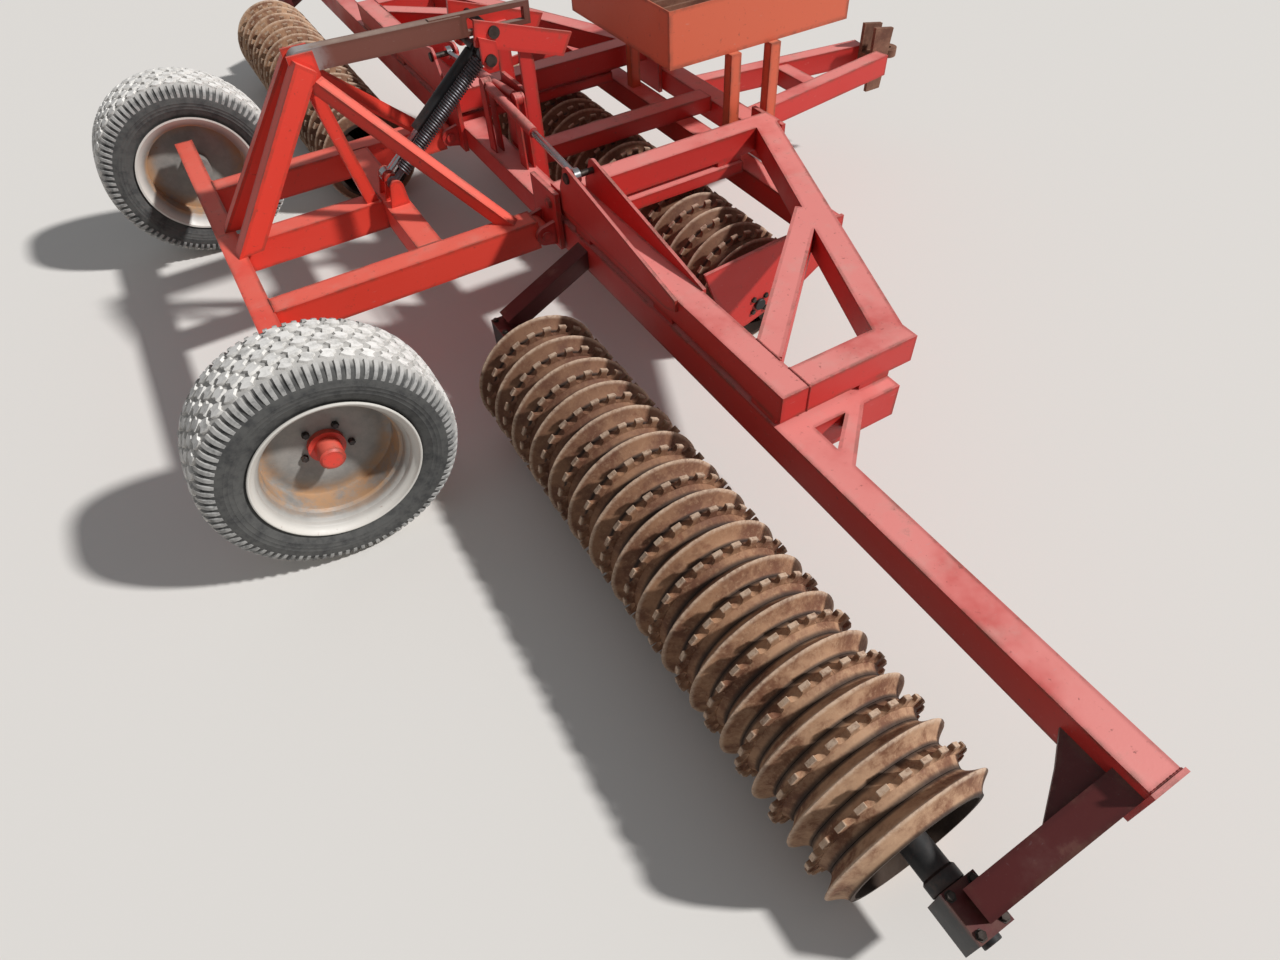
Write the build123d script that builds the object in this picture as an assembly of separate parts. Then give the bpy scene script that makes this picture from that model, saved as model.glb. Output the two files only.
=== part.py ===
from build123d import *
import os
from math import cos, sin, radians, hypot

# A towed land roller in three gangs of rings, with folding wings, in millimetres.
# +X forward, +Y left, +Z up, ground at Z 0. Places along X count from the hinge plane, the middle of the
# wings' rear beams, and every piece is moved by FRAME_SHIFT at the end, so that the origin lies under the
# middle of the whole machine. The right wing is modelled and the left one is its mirror image.

os.makedirs("parts", exist_ok=True)

# Overall plan
RING_RADIUS = 250.0
RING_PITCH = 143.3
WING_RING_COUNT = 15
CENTRE_RING_COUNT = 16
AXLE_BACK = 1240.0
TYRE_RADIUS = 420.0
TYRE_WIDTH = 310.0
WHEEL_Y = 1156.0
EYE_REACH = 2225.0
EYE_RADIUS = 50.0
REAR_REACH = AXLE_BACK + TYRE_RADIUS
NOSE_REACH = EYE_REACH + EYE_RADIUS
FRAME_SHIFT = (REAR_REACH - NOSE_REACH) / 2

# Running clearance of a pin in its hole, gap between faces that pass each other, and gap beside a moving part
PIN_CLEARANCE = 0.05
SIDE_GAP = 1.0
SWING_GAP = 5.0

# Wing: the upper layer is the carrier, the lower one holds the gang, with packers between them
HINGE_Y = 560.0
HINGE_Z = 630.0
HINGE_PIN_RADIUS = 20.0
CARRIER_TUBE = 100.0
CARRIER_BOTTOM = 580.0
CARRIER_TOP = CARRIER_BOTTOM + CARRIER_TUBE
PACKER = 20.0
CARRIER_OUTER_Y = 2012.0
CARRIER_FRONT_X = 1015.0
OUTER_CROSS_FRONT_X = 470.0
BRACE_WIDTH = 90.0
BRACE_FRONT = (662.0, 1235.0)
BRACE_REAR = (31.0, 1829.0)
ROLLER_TUBE_WIDTH = 100.0
ROLLER_TUBE_HEIGHT = 125.0
ROLLER_TOP = CARRIER_BOTTOM - PACKER
ROLLER_BOTTOM = ROLLER_TOP - ROLLER_TUBE_HEIGHT
ROLLER_BACK_X = -59.0
ROLLER_FRONT_X = ROLLER_BACK_X + ROLLER_TUBE_WIDTH
ROLLER_INNER_Y = 530.0
ROLLER_OUTER_Y = 3280.0
END_PLATE = 12.0
INNER_ARM_FRONT_X = 815.0
INNER_ARM_BOTTOM = 512.0
OUTER_ARM_FRONT_X = 379.0
OUTER_ARM_Y = 2017.0

# Lever plates of the fold cylinder
LEVER_PLATE = 12.0
LEVER_INNER_Y = 625.0
LEVER_OUTER_Y = 1450.0
LEVER_BOTTOM = 620.0
LEVER_EYE_Y = 700.0
LEVER_EYE_Z = 785.0
LEVER_EYE_RADIUS = 40.0

# Gangs
RING_SIDES = 20
RING_BASE_RADIUS = 208.0
RING_BORE_RADIUS = 186.0
TOOTH_ROOT_RADIUS = 226.0
TOOTH_TIP_RADIUS = 249.0
TOOTH_TIP_SHARE = 0.36
SHAFT_RADIUS = 25.0
HUB_RADIUS = 46.0
SPOKE_COUNT = 6
SPOKE_WIDTH = 26.0
SPOKE_THICKNESS = 14.0
WING_GANG_X = -421.0
WING_GANG_INNER_Y = 1036.0
CENTRE_GANG_X = 535.0
GANG_Z = RING_RADIUS
WING_GANG_SPAN = (WING_RING_COUNT - 1) * RING_PITCH
CENTRE_GANG_SPAN = (CENTRE_RING_COUNT - 1) * RING_PITCH
WING_GANG_OUTER_Y = WING_GANG_INNER_Y + WING_GANG_SPAN

# Bearings of the wing gangs, on arms that reach down from the roller beam
OUTER_BEARING_Y = 3240.0
INNER_BEARING_Y = 770.0
BEARING_LENGTH = 120.0
BEARING_WIDTH = 100.0
BEARING_BOTTOM = 190.0
BEARING_TOP = 300.0
BEARING_FLANGE = 12.0
SHAFT_OVERHANG = 12.0
ARM_TUBE = 80.0
ARM_TUBE_HEIGHT = 70.0

# Centre frame
BEAM_TOP = 560.0
BEAM_TUBE = 100.0
REAR_BEAM_BACK_X = -67.0
REAR_BEAM_FRONT_X = 53.0
REAR_BEAM_HALF = 460.0
FRONT_BEAM_BACK_X = 1040.0
FRONT_BEAM_HALF = 500.0
SPINE_TOP = 580.0
SPINE_BOTTOM = 510.0
SPINE_WIDTH = 100.0
GANG_BEAM_BACK_X = 835.0
GANG_BEAM_WIDTH = 100.0
GANG_BEAM_HEIGHT = 100.0
GANG_PLATE = 15.0
GANG_PLATE_Y = 1145.0
GANG_BEARING_DEPTH = 22.0
GANG_BEARING_RADIUS = 58.0
POST_PLATE = 20.0
POST_INNER_Y = 400.0
POST_OUTER_Y = 620.0
POST_BOTTOM = 447.0
POST_TOP = 688.0
FRONT_POST_TOP = 660.0

# Tail: the frame that carries the wheels, hinged behind the centre frame
PIVOT_X = -132.0
PIVOT_Z = 510.0
PIVOT_PIN_RADIUS = 20.0
PIVOT_TUBE_RADIUS = 35.0
TAIL_BEAM_Y = 520.0
TAIL_BEAM_WIDTH = 100.0
TAIL_TOP = 572.0
TAIL_BOTTOM = 452.0
TAIL_LUG = 20.0
AXLE_BEAM_WIDTH = 80.0
AXLE_BEAM_HALF = 1045.0
TAIL_CROSS_X = -575.0
TAIL_CROSS_WIDTH = 100.0

# Masts and the gear between them
MAST_PLATE = 15.0
MAST_Y = 110.0
MAST_BOTTOM = 470.0
MAST_LEG_WIDTH = 60.0
MAST_LEG_TOP = 1070.0
MAST_ARM_Y = MAST_Y + MAST_PLATE
MAST_ARM_REAR_TOP = (-115.0, 1186.0)
MAST_ARM_FRONT_TOP = (287.0, 1057.0)
MAST_ARM_DEPTH = 92.0
PIN_HEAD_RADIUS = 23.0
PIN_HEAD_THICKNESS = 8.0
LINK_PIN_X = -45.0
LINK_PIN_Z = 1130.0
LIFT_PIN_X = -80.0
LIFT_PIN_Z = 1040.0
GEAR_PIN_RADIUS = 15.0
EAR_X = -565.0
EAR_Z = 650.0
SPRING_Y = -80.0
REAR_MAST_X = -752.0
REAR_MAST_Z = 1150.0
REAR_MAST_FOOT_Y = 115.0
REAR_MAST_TOP_Y = 62.0

# Fold cylinders: the right wing's lies at -FOLD_OFFSET along X, the left wing's at +FOLD_OFFSET
FOLD_OFFSET = 25.0
FOLD_ANCHOR_Y = 110.0
FOLD_ANCHOR_Z = 850.0
FOLD_BARREL_RADIUS = 21.0
FOLD_ROD_RADIUS = 14.0
FOLD_BARREL_LENGTH = 460.0
FOLD_EYE_RADIUS = 28.0
FOLD_EYE_WIDTH = 24.0
FOLD_PIN_RADIUS = 12.5

# Tray and its posts
TRAY_BACK_X = 571.0
TRAY_FRONT_X = 1495.0
TRAY_HALF = 426.0
TRAY_BOTTOM = 929.0
TRAY_TOP = 1147.0
TRAY_SHEET = 6.0
TRAY_POST = 50.0
TRAY_POST_X = (885.0, 1090.0)

# Drawbar
DRAWBAR_WIDTH = 80.0
DRAWBAR_HEIGHT = 100.0
DRAWBAR_TOP = 545.0
DRAWBAR_BACK_Y = 230.0
DRAWBAR_FRONT_Y = 90.0
HITCH_DEPTH = 156.0
DRAWBAR_FRONT_X = EYE_REACH - HITCH_DEPTH + 31.0
CHEEK_PLATE = 20.0
CHEEK_GAP = 32.0
CHEEK_WIDTH = 94.0
CHEEK_BOTTOM = 339.0
CHEEK_TOP = 650.0
EYE_Z = 500.0
EYE_THICKNESS = 40.0
EYE_BORE_RADIUS = 20.0

# Wheels
RIM_LIP_RADIUS = 272.0
RIM_SEAT_RADIUS = 247.0
RIM_WELL_RADIUS = 218.0
RIM_HALF = 146.0
RIM_BEAD = 20.0
DISC_FACE = -8.0
DISC_PLATE = 12.0
HUB_BODY_RADIUS = 62.0
HUB_BODY_BACK = -100.0
HUB_FLANGE_RADIUS = 61.0
HUB_FLANGE_FRONT = 12.0
HUB_CAP_RADIUS = 42.0
HUB_CAP_FRONT = 81.0
HUB_CAP_CHAMFER = 7.0
SPINDLE_RADIUS = 28.0
SPINDLE_Z = TYRE_RADIUS


def block(x0, x1, y0, y1, z0, z1):
    """A box between two limits on each axis."""
    size = (abs(x1 - x0), abs(y1 - y0), abs(z1 - z0))
    return Pos((x0 + x1) / 2, (y0 + y1) / 2, (z0 + z1) / 2) * Box(*size)


def beam(start, end, width, height):
    """A straight bar of box section from start to end, its width level."""
    along = Vector(*end) - Vector(*start)
    level = Vector(0, 0, 1).cross(along).normalized()
    plane = Plane(origin=start, x_dir=level, z_dir=along)
    return extrude(plane * Rectangle(width, height), along.length)


def rod(start, end, radius):
    """A round bar from start to end."""
    along = Vector(*end) - Vector(*start)
    return extrude(Plane(origin=start, z_dir=along) * Circle(radius), along.length)


def side_plate(points, y0, thickness):
    """A plate that stands along X, from an outline of (x, z) points, y0 its right face."""
    outline = make_face(Polyline(*points, close=True))
    plane = Plane(origin=(0, y0, 0), x_dir=(1, 0, 0), z_dir=(0, -1, 0))
    return extrude(plane * outline, -thickness)


def level_plate(points, z0, thickness):
    """A flat plate from an outline of (x, y) points, z0 its lower face."""
    outline = make_face(Polyline(*points, close=True))
    return extrude(Plane.XY.offset(z0) * outline, thickness)


def left_of(shape):
    """The mirror image on the other side of the machine."""
    return mirror(shape, about=Plane.XZ)


def together(shapes):
    """One node of several solids that don't touch."""
    return Compound([solid for shape in shapes for solid in shape.solids()])


def both_sides(*shapes):
    """Pieces of the right side with their mirror images, as one node of separate solids."""
    return together([*shapes, *[left_of(shape) for shape in shapes]])


def joined(shapes):
    """All the shapes fused into one."""
    first, *others = shapes
    return first.fuse(*others) if others else first


nodes = {}


def add(name, shape):
    nodes[name] = shape


def add_pair(name, shape):
    add(name + "_right", shape)
    add(name + "_left", left_of(shape))


def ring_point(radius, y, step):
    angle = radians(360.0 * step / RING_SIDES)
    return Vector(radius * cos(angle), y, radius * sin(angle))


def ring_polygon(radius, y):
    return [ring_point(radius, y, step) for step in range(RING_SIDES)]


def polygon_face(points):
    return Face(Wire.make_polygon(points, close=True))


def smooth_flank(base, ridge):
    """One flank of a smooth ring, from its wide base up to its ridge."""
    faces = []
    for i in range(RING_SIDES):
        j = (i + 1) % RING_SIDES
        faces.append(polygon_face([base[i], base[j], ridge[j], ridge[i]]))
    return faces


def toothed_flank(base, y):
    """One flank of a toothed ring: each tooth narrows from the base to its flat tip, with a root beside it."""
    edge = (1 - TOOTH_TIP_SHARE) / 2
    faces = []
    for i in range(RING_SIDES):
        j = (i + 1) % RING_SIDES
        root = ring_point(TOOTH_ROOT_RADIUS, y, i)
        next_root = ring_point(TOOTH_ROOT_RADIUS, y, j)
        tip = ring_point(TOOTH_TIP_RADIUS, y, i + edge)
        next_tip = ring_point(TOOTH_TIP_RADIUS, y, i + 1 - edge)
        faces.append(polygon_face([base[i], root, tip]))
        faces.append(polygon_face([base[i], tip, next_tip, base[j]]))
        faces.append(polygon_face([base[j], next_tip, next_root]))
    return faces


def ring_barrel(count):
    """Smooth and toothed rings side by side, the first smooth ring's ridge at y 0 and the rest along +Y."""
    half = RING_PITCH / 4
    faces = []
    for k in range(count):
        ridge_y = k * RING_PITCH
        ridge = ring_polygon(RING_RADIUS, ridge_y)
        for base_y in (ridge_y - half, ridge_y + half):
            faces += smooth_flank(ring_polygon(RING_BASE_RADIUS, base_y), ridge)
    for k in range(count - 1):
        crown_y = (k + 0.5) * RING_PITCH
        for base_y in (crown_y - half, crown_y + half):
            faces += toothed_flank(ring_polygon(RING_BASE_RADIUS, base_y), crown_y)
    ends = (-half, (count - 1) * RING_PITCH + half)
    for end_y in ends:
        faces.append(polygon_face(ring_polygon(RING_BASE_RADIUS, end_y)))
    barrel = Solid(Shell(faces))
    length = ends[1] - ends[0]
    bore = Plane(origin=(0, ends[0], 0), x_dir=(1, 0, 0), z_dir=(0, 1, 0))
    return barrel - extrude(bore * RegularPolygon(RING_BORE_RADIUS, RING_SIDES), length)


def spider(y0):
    """The hub and spokes that hold a gang's end ring on the shaft."""
    plane = Plane(origin=(0, y0, 0), x_dir=(1, 0, 0), z_dir=(0, 1, 0))
    spokes = Rectangle(2 * RING_BORE_RADIUS, SPOKE_WIDTH)
    shape = Circle(HUB_RADIUS)
    for k in range(SPOKE_COUNT // 2):
        shape += Rot(0, 0, 360.0 / SPOKE_COUNT * k) * spokes
    return extrude(plane * shape, SPOKE_THICKNESS)


def gang(count, first_y, x, hub_ends, shaft_ends):
    """A gang of rings on its shaft: its first ridge at first_y, the rest towards the left."""
    span = (count - 1) * RING_PITCH
    barrel = Pos(0, first_y, 0) * ring_barrel(count)
    spiders = [Pos(0, first_y, 0) * spider(-SPOKE_THICKNESS / 2)]
    spiders.append(Pos(0, first_y + span, 0) * spider(-SPOKE_THICKNESS / 2))
    shaft = rod((0, shaft_ends[0], 0), (0, shaft_ends[1], 0), SHAFT_RADIUS)
    collars = rod((0, hub_ends[0] + SIDE_GAP, 0), (0, hub_ends[1] - SIDE_GAP, 0), HUB_RADIUS)
    inside = extrude(
        Plane(origin=(0, first_y, 0), x_dir=(1, 0, 0), z_dir=(0, 1, 0)) * Circle(HUB_RADIUS + 1), span
    )
    return Pos(x, 0, GANG_Z) * joined([barrel, shaft, collars - inside, *spiders])


# Centre frame: two cross beams, the spine between them and the gang beam hung under the spine
rear_beam = block(
    REAR_BEAM_BACK_X, REAR_BEAM_FRONT_X, -REAR_BEAM_HALF, REAR_BEAM_HALF, BEAM_TOP - BEAM_TUBE, BEAM_TOP
)
front_beam = block(
    FRONT_BEAM_BACK_X,
    FRONT_BEAM_BACK_X + BEAM_TUBE,
    -FRONT_BEAM_HALF,
    FRONT_BEAM_HALF,
    BEAM_TOP - BEAM_TUBE,
    BEAM_TOP,
)
spine = block(REAR_BEAM_FRONT_X, FRONT_BEAM_BACK_X, -SPINE_WIDTH / 2, SPINE_WIDTH / 2, SPINE_BOTTOM, SPINE_TOP)
add("centre_frame", joined([rear_beam, front_beam, spine]))
gang_beam_front_x = GANG_BEAM_BACK_X + GANG_BEAM_WIDTH
add(
    "gang_beam",
    block(
        GANG_BEAM_BACK_X,
        gang_beam_front_x,
        -GANG_PLATE_Y,
        GANG_PLATE_Y,
        SPINE_BOTTOM - GANG_BEAM_HEIGHT,
        SPINE_BOTTOM,
    ),
)

# Hinge posts: plates at the ends of both cross beams, each with the pin that a wing turns on
HINGE_PIN_DEPTH = 80.0


def hinge_post(back_x, top, pin_back_x, pin_front_x):
    plate = block(back_x, back_x + POST_PLATE, -POST_OUTER_Y, -POST_INNER_Y, POST_BOTTOM, top)
    pin = rod((pin_back_x, -HINGE_Y, HINGE_Z), (pin_front_x, -HINGE_Y, HINGE_Z), HINGE_PIN_RADIUS)
    return plate + pin


carrier_back_x = -CARRIER_TUBE / 2
rear_post_x = REAR_BEAM_BACK_X - POST_PLATE
front_post_x = FRONT_BEAM_BACK_X - POST_PLATE
rear_post = hinge_post(rear_post_x, POST_TOP, rear_post_x - 12, carrier_back_x + HINGE_PIN_DEPTH)
front_post = hinge_post(
    front_post_x, FRONT_POST_TOP, CARRIER_FRONT_X - HINGE_PIN_DEPTH, front_post_x + POST_PLATE + 12
)
add("hinge_posts", both_sides(rear_post, front_post))

# Tail lugs: two plates behind each rear post, with the pin between them
lug_inner_y = TAIL_BEAM_Y - TAIL_BEAM_WIDTH / 2 - SIDE_GAP - TAIL_LUG
lug_outer_y = TAIL_BEAM_Y + TAIL_BEAM_WIDTH / 2 + SIDE_GAP
LUG_RADIUS = 40.0
lug_profile = make_face(
    Polyline(
        (PIVOT_X, PIVOT_Z - LUG_RADIUS),
        (rear_post_x, PIVOT_Z - LUG_RADIUS - 10),
        (rear_post_x, PIVOT_Z + LUG_RADIUS + 10),
        (PIVOT_X, PIVOT_Z + LUG_RADIUS),
        close=True,
    )
) + Pos(PIVOT_X, PIVOT_Z) * Circle(LUG_RADIUS)


def standing(profile, y0, thickness):
    """A flat (x, z) profile stood along X from y0 towards the right by thickness."""
    plane = Plane(origin=(0, y0, 0), x_dir=(1, 0, 0), z_dir=(0, -1, 0))
    return extrude(plane * profile, thickness)


tail_lugs = joined(
    [
        standing(lug_profile, -lug_inner_y, TAIL_LUG),
        standing(lug_profile, -lug_outer_y, TAIL_LUG),
        rod((PIVOT_X, -lug_inner_y + 8, PIVOT_Z), (PIVOT_X, -lug_outer_y - TAIL_LUG - 8, PIVOT_Z), PIVOT_PIN_RADIUS),
    ]
)
add("tail_lugs", both_sides(tail_lugs))

# Gang plates: the end plates that carry the centre gang, on the ends of the gang beam
gang_plate_outline = [
    (260, 491),
    (614, 520),
    (gang_beam_front_x, 520),
    (gang_beam_front_x, SPINE_BOTTOM - GANG_BEAM_HEIGHT - 10),
    (842, 319),
    (720, 242),
    (CENTRE_GANG_X - 60, 165),
    (445, 161),
    (311, 354),
]
gang_plate = side_plate(gang_plate_outline, -GANG_PLATE_Y - GANG_PLATE, GANG_PLATE)
gang_bearing = rod(
    (CENTRE_GANG_X, -GANG_PLATE_Y, GANG_Z),
    (CENTRE_GANG_X, -GANG_PLATE_Y + GANG_BEARING_DEPTH, GANG_Z),
    GANG_BEARING_RADIUS,
)
gang_hole = rod(
    (CENTRE_GANG_X, -GANG_PLATE_Y - GANG_PLATE - 40, GANG_Z),
    (CENTRE_GANG_X, -GANG_PLATE_Y + 40, GANG_Z),
    SHAFT_RADIUS + PIN_CLEARANCE,
)
add("gang_plates", both_sides(gang_plate - gang_hole))
add("gang_bearings", both_sides(gang_bearing - gang_hole))

# Centre mast: two legs in front of the fold cylinders with a plate between them, and two arms on top that
# slope forward, with lugs under their rear ends for the lift cylinder and the spring
mast_front_x = REAR_BEAM_FRONT_X + MAST_LEG_WIDTH
mast_leg = block(REAR_BEAM_FRONT_X, mast_front_x, -MAST_ARM_Y, -MAST_Y, MAST_BOTTOM, MAST_LEG_TOP)
add("centre_mast", both_sides(mast_leg))
mast_back_front_x = REAR_BEAM_FRONT_X + MAST_PLATE
add("mast_back", block(REAR_BEAM_FRONT_X, mast_back_front_x, -MAST_Y, MAST_Y, SPINE_TOP, FOLD_ANCHOR_Z + 30))
arm_rear = Vector(MAST_ARM_REAR_TOP[0], 0, MAST_ARM_REAR_TOP[1])
arm_front = Vector(MAST_ARM_FRONT_TOP[0], 0, MAST_ARM_FRONT_TOP[1])
arm_down = Vector(0, 1, 0).cross(arm_front - arm_rear).normalized() * MAST_ARM_DEPTH
arm_outline = [
    (arm_rear.X, arm_rear.Z),
    (arm_front.X, arm_front.Z),
    (arm_front.X + arm_down.X - 20, arm_front.Z + arm_down.Z + 7),
    (arm_rear.X + arm_down.X + 15, arm_rear.Z + arm_down.Z - 5),
]
mast_arm = side_plate(arm_outline, -MAST_ARM_Y - MAST_PLATE, MAST_PLATE)
add("mast_arms", both_sides(mast_arm))
lug_y = MAST_ARM_Y + MAST_PLATE
LIFT_LUG_RADIUS = 34.0
lift_lug_outline = make_face(
    Polyline(
        (LIFT_PIN_X - LIFT_LUG_RADIUS, LIFT_PIN_Z),
        (LIFT_PIN_X - LIFT_LUG_RADIUS, LINK_PIN_Z - 2),
        (LIFT_PIN_X + LIFT_LUG_RADIUS, LINK_PIN_Z - PIN_HEAD_RADIUS - 7),
        (LIFT_PIN_X + LIFT_LUG_RADIUS, LIFT_PIN_Z),
        close=True,
    )
) + Pos(LIFT_PIN_X, LIFT_PIN_Z) * Circle(LIFT_LUG_RADIUS)
add("lift_lugs", both_sides(standing(lift_lug_outline, -lug_y, MAST_PLATE)))
mast_pins = []
for pin_x, pin_z, inner_y, plates in (
    (LINK_PIN_X, LINK_PIN_Z, MAST_ARM_Y, MAST_PLATE),
    (LIFT_PIN_X, LIFT_PIN_Z, lug_y, MAST_PLATE),
):
    mast_pins.append(rod((pin_x, -inner_y, pin_z), (pin_x, inner_y, pin_z), GEAR_PIN_RADIUS))
    head_y = inner_y + plates
    head = rod((pin_x, -head_y, pin_z), (pin_x, -head_y - PIN_HEAD_THICKNESS, pin_z), PIN_HEAD_RADIUS)
    mast_pins += [head, left_of(head)]
add("mast_pins", together(mast_pins))

# Fold anchors: a pair of lugs with its pin on the rear cross beam, for each fold cylinder
anchor_gap = FOLD_EYE_WIDTH / 2 + SIDE_GAP
ANCHOR_PLATE = 8.0
ANCHOR_EYE_RADIUS = 26.0
ANCHOR_FOOT_HALF = 34.0


def fold_anchor(x, y):
    lugs = []
    outline = make_face(
        Polyline(
            (y - ANCHOR_FOOT_HALF, BEAM_TOP),
            (y + ANCHOR_FOOT_HALF, BEAM_TOP),
            (y + ANCHOR_EYE_RADIUS, FOLD_ANCHOR_Z),
            (y - ANCHOR_EYE_RADIUS, FOLD_ANCHOR_Z),
            close=True,
        )
    ) + Pos(y, FOLD_ANCHOR_Z) * Circle(ANCHOR_EYE_RADIUS)
    for back_x in (x - anchor_gap - ANCHOR_PLATE, x + anchor_gap):
        plane = Plane(origin=(back_x, 0, 0), x_dir=(0, 1, 0), z_dir=(1, 0, 0))
        lugs.append(extrude(plane * outline, ANCHOR_PLATE))
    reach = anchor_gap + ANCHOR_PLATE
    pin = rod((x - reach, y, FOLD_ANCHOR_Z), (x + reach, y, FOLD_ANCHOR_Z), FOLD_PIN_RADIUS)
    return joined([*lugs, pin])


add(
    "fold_anchors",
    together([fold_anchor(-FOLD_OFFSET, FOLD_ANCHOR_Y), fold_anchor(FOLD_OFFSET, -FOLD_ANCHOR_Y)]),
)

# Drawbar, hitch cheeks and towing eye
front_face_x = FRONT_BEAM_BACK_X + BEAM_TUBE
drawbar_z = DRAWBAR_TOP - DRAWBAR_HEIGHT / 2
bars = []
for side in (-1, 1):
    bar = beam(
        (front_face_x - 60, side * (DRAWBAR_BACK_Y + 8), drawbar_z),
        (DRAWBAR_FRONT_X, side * DRAWBAR_FRONT_Y, drawbar_z),
        DRAWBAR_WIDTH,
        DRAWBAR_HEIGHT,
    )
    bars.append(bar - block(front_face_x - 400, front_face_x, -900, 900, 300, 700))
cross = block(1560, 1640, -DRAWBAR_BACK_Y, DRAWBAR_BACK_Y, DRAWBAR_TOP - 90, DRAWBAR_TOP - 10)
keep = level_plate(
    [
        (front_face_x, -DRAWBAR_BACK_Y),
        (DRAWBAR_FRONT_X, -DRAWBAR_FRONT_Y),
        (DRAWBAR_FRONT_X, DRAWBAR_FRONT_Y),
        (front_face_x, DRAWBAR_BACK_Y),
    ],
    300,
    400,
)
add("drawbar", joined([*bars, cross & keep]))
cheek_back_x = EYE_REACH - HITCH_DEPTH
cheek_outline = [
    (cheek_back_x, CHEEK_BOTTOM),
    (cheek_back_x + CHEEK_WIDTH, CHEEK_BOTTOM),
    (cheek_back_x + CHEEK_WIDTH + 30, CHEEK_TOP - 13),
    (cheek_back_x, CHEEK_TOP + 10),
]
cheeks = [side_plate(cheek_outline, y0, CHEEK_PLATE) for y0 in (-CHEEK_GAP - CHEEK_PLATE, CHEEK_GAP)]
tongue = block(
    cheek_back_x, EYE_REACH, -CHEEK_GAP, CHEEK_GAP, EYE_Z - EYE_THICKNESS / 2, EYE_Z + EYE_THICKNESS / 2
)
eye = Pos(EYE_REACH, 0, EYE_Z) * Cylinder(EYE_RADIUS, EYE_THICKNESS)
eye_hole = Pos(EYE_REACH, 0, EYE_Z) * Cylinder(EYE_BORE_RADIUS, 2 * EYE_THICKNESS)
hitch = joined([*cheeks, tongue, eye]) - eye_hole - nodes["drawbar"]
add("hitch", hitch)

# Tray with its grating and posts
tray = block(TRAY_BACK_X, TRAY_FRONT_X, -TRAY_HALF, TRAY_HALF, TRAY_BOTTOM, TRAY_TOP) - block(
    TRAY_BACK_X + TRAY_SHEET,
    TRAY_FRONT_X - TRAY_SHEET,
    -TRAY_HALF + TRAY_SHEET,
    TRAY_HALF - TRAY_SHEET,
    TRAY_BOTTOM + TRAY_SHEET,
    TRAY_TOP + 10,
)
add("tray", tray)
GRATING_TOP = TRAY_TOP - 12
GRATING_BARS = 10
grating_inner = TRAY_HALF - TRAY_SHEET
bar_pitch = 2 * grating_inner / (GRATING_BARS + 1)
grating = [
    block(
        TRAY_BACK_X + TRAY_SHEET,
        TRAY_FRONT_X - TRAY_SHEET,
        -grating_inner + bar_pitch * (k + 1) - 4,
        -grating_inner + bar_pitch * (k + 1) + 4,
        GRATING_TOP - 30,
        GRATING_TOP,
    )
    for k in range(GRATING_BARS)
]
for x in (TRAY_BACK_X + 200, TRAY_FRONT_X - 200):
    grating.append(block(x - 5, x + 5, -grating_inner, grating_inner, GRATING_TOP - 50, GRATING_TOP - 30))
add("tray_grating", joined(grating))
tray_posts = []
for side in (-1, 1):
    y0, y1 = side * (TRAY_HALF - TRAY_POST / 2), side * (TRAY_HALF + TRAY_POST / 2)
    for x, foot in zip(TRAY_POST_X, (SPINE_BOTTOM, BEAM_TOP)):
        tray_posts.append(block(x - TRAY_POST / 2, x + TRAY_POST / 2, y0, y1, foot, TRAY_BOTTOM))
add("tray_posts", together(tray_posts))

# Wing carrier: rear beam, hinge beam, outer cross beam, front diagonal and brace in one weldment
hinge_beam = block(
    -carrier_back_x, CARRIER_FRONT_X, -HINGE_Y - CARRIER_TUBE / 2, -HINGE_Y + CARRIER_TUBE / 2, CARRIER_BOTTOM, CARRIER_TOP
)
wing_rear_beam = block(
    carrier_back_x, -carrier_back_x, -CARRIER_OUTER_Y, -HINGE_Y + CARRIER_TUBE / 2, CARRIER_BOTTOM, CARRIER_TOP
)
outer_cross_beam = block(
    -carrier_back_x, OUTER_CROSS_FRONT_X, -CARRIER_OUTER_Y, -CARRIER_OUTER_Y + CARRIER_TUBE, CARRIER_BOTTOM, CARRIER_TOP
)
middle_z = CARRIER_BOTTOM + CARRIER_TUBE / 2
diagonal_start = (CARRIER_FRONT_X - 50, -HINGE_Y, middle_z)
diagonal_end = (OUTER_CROSS_FRONT_X - 60, -CARRIER_OUTER_Y + CARRIER_TUBE / 2, middle_z)
front_diagonal = beam(diagonal_start, diagonal_end, CARRIER_TUBE, CARRIER_TUBE)
brace = beam(
    (BRACE_FRONT[0], -BRACE_FRONT[1], middle_z), (BRACE_REAR[0], -BRACE_REAR[1], middle_z), BRACE_WIDTH, CARRIER_TUBE
)
hinge_bores = [
    rod((x0, -HINGE_Y, HINGE_Z), (x1, -HINGE_Y, HINGE_Z), HINGE_PIN_RADIUS + PIN_CLEARANCE)
    for x0, x1 in (
        (carrier_back_x - 10, carrier_back_x + HINGE_PIN_DEPTH + 5),
        (CARRIER_FRONT_X - HINGE_PIN_DEPTH - 5, CARRIER_FRONT_X + 10),
    )
]
carrier = joined([wing_rear_beam, hinge_beam, outer_cross_beam, front_diagonal, brace])
for hole in hinge_bores:
    carrier = carrier - hole
add_pair("wing_carrier", carrier)

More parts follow.
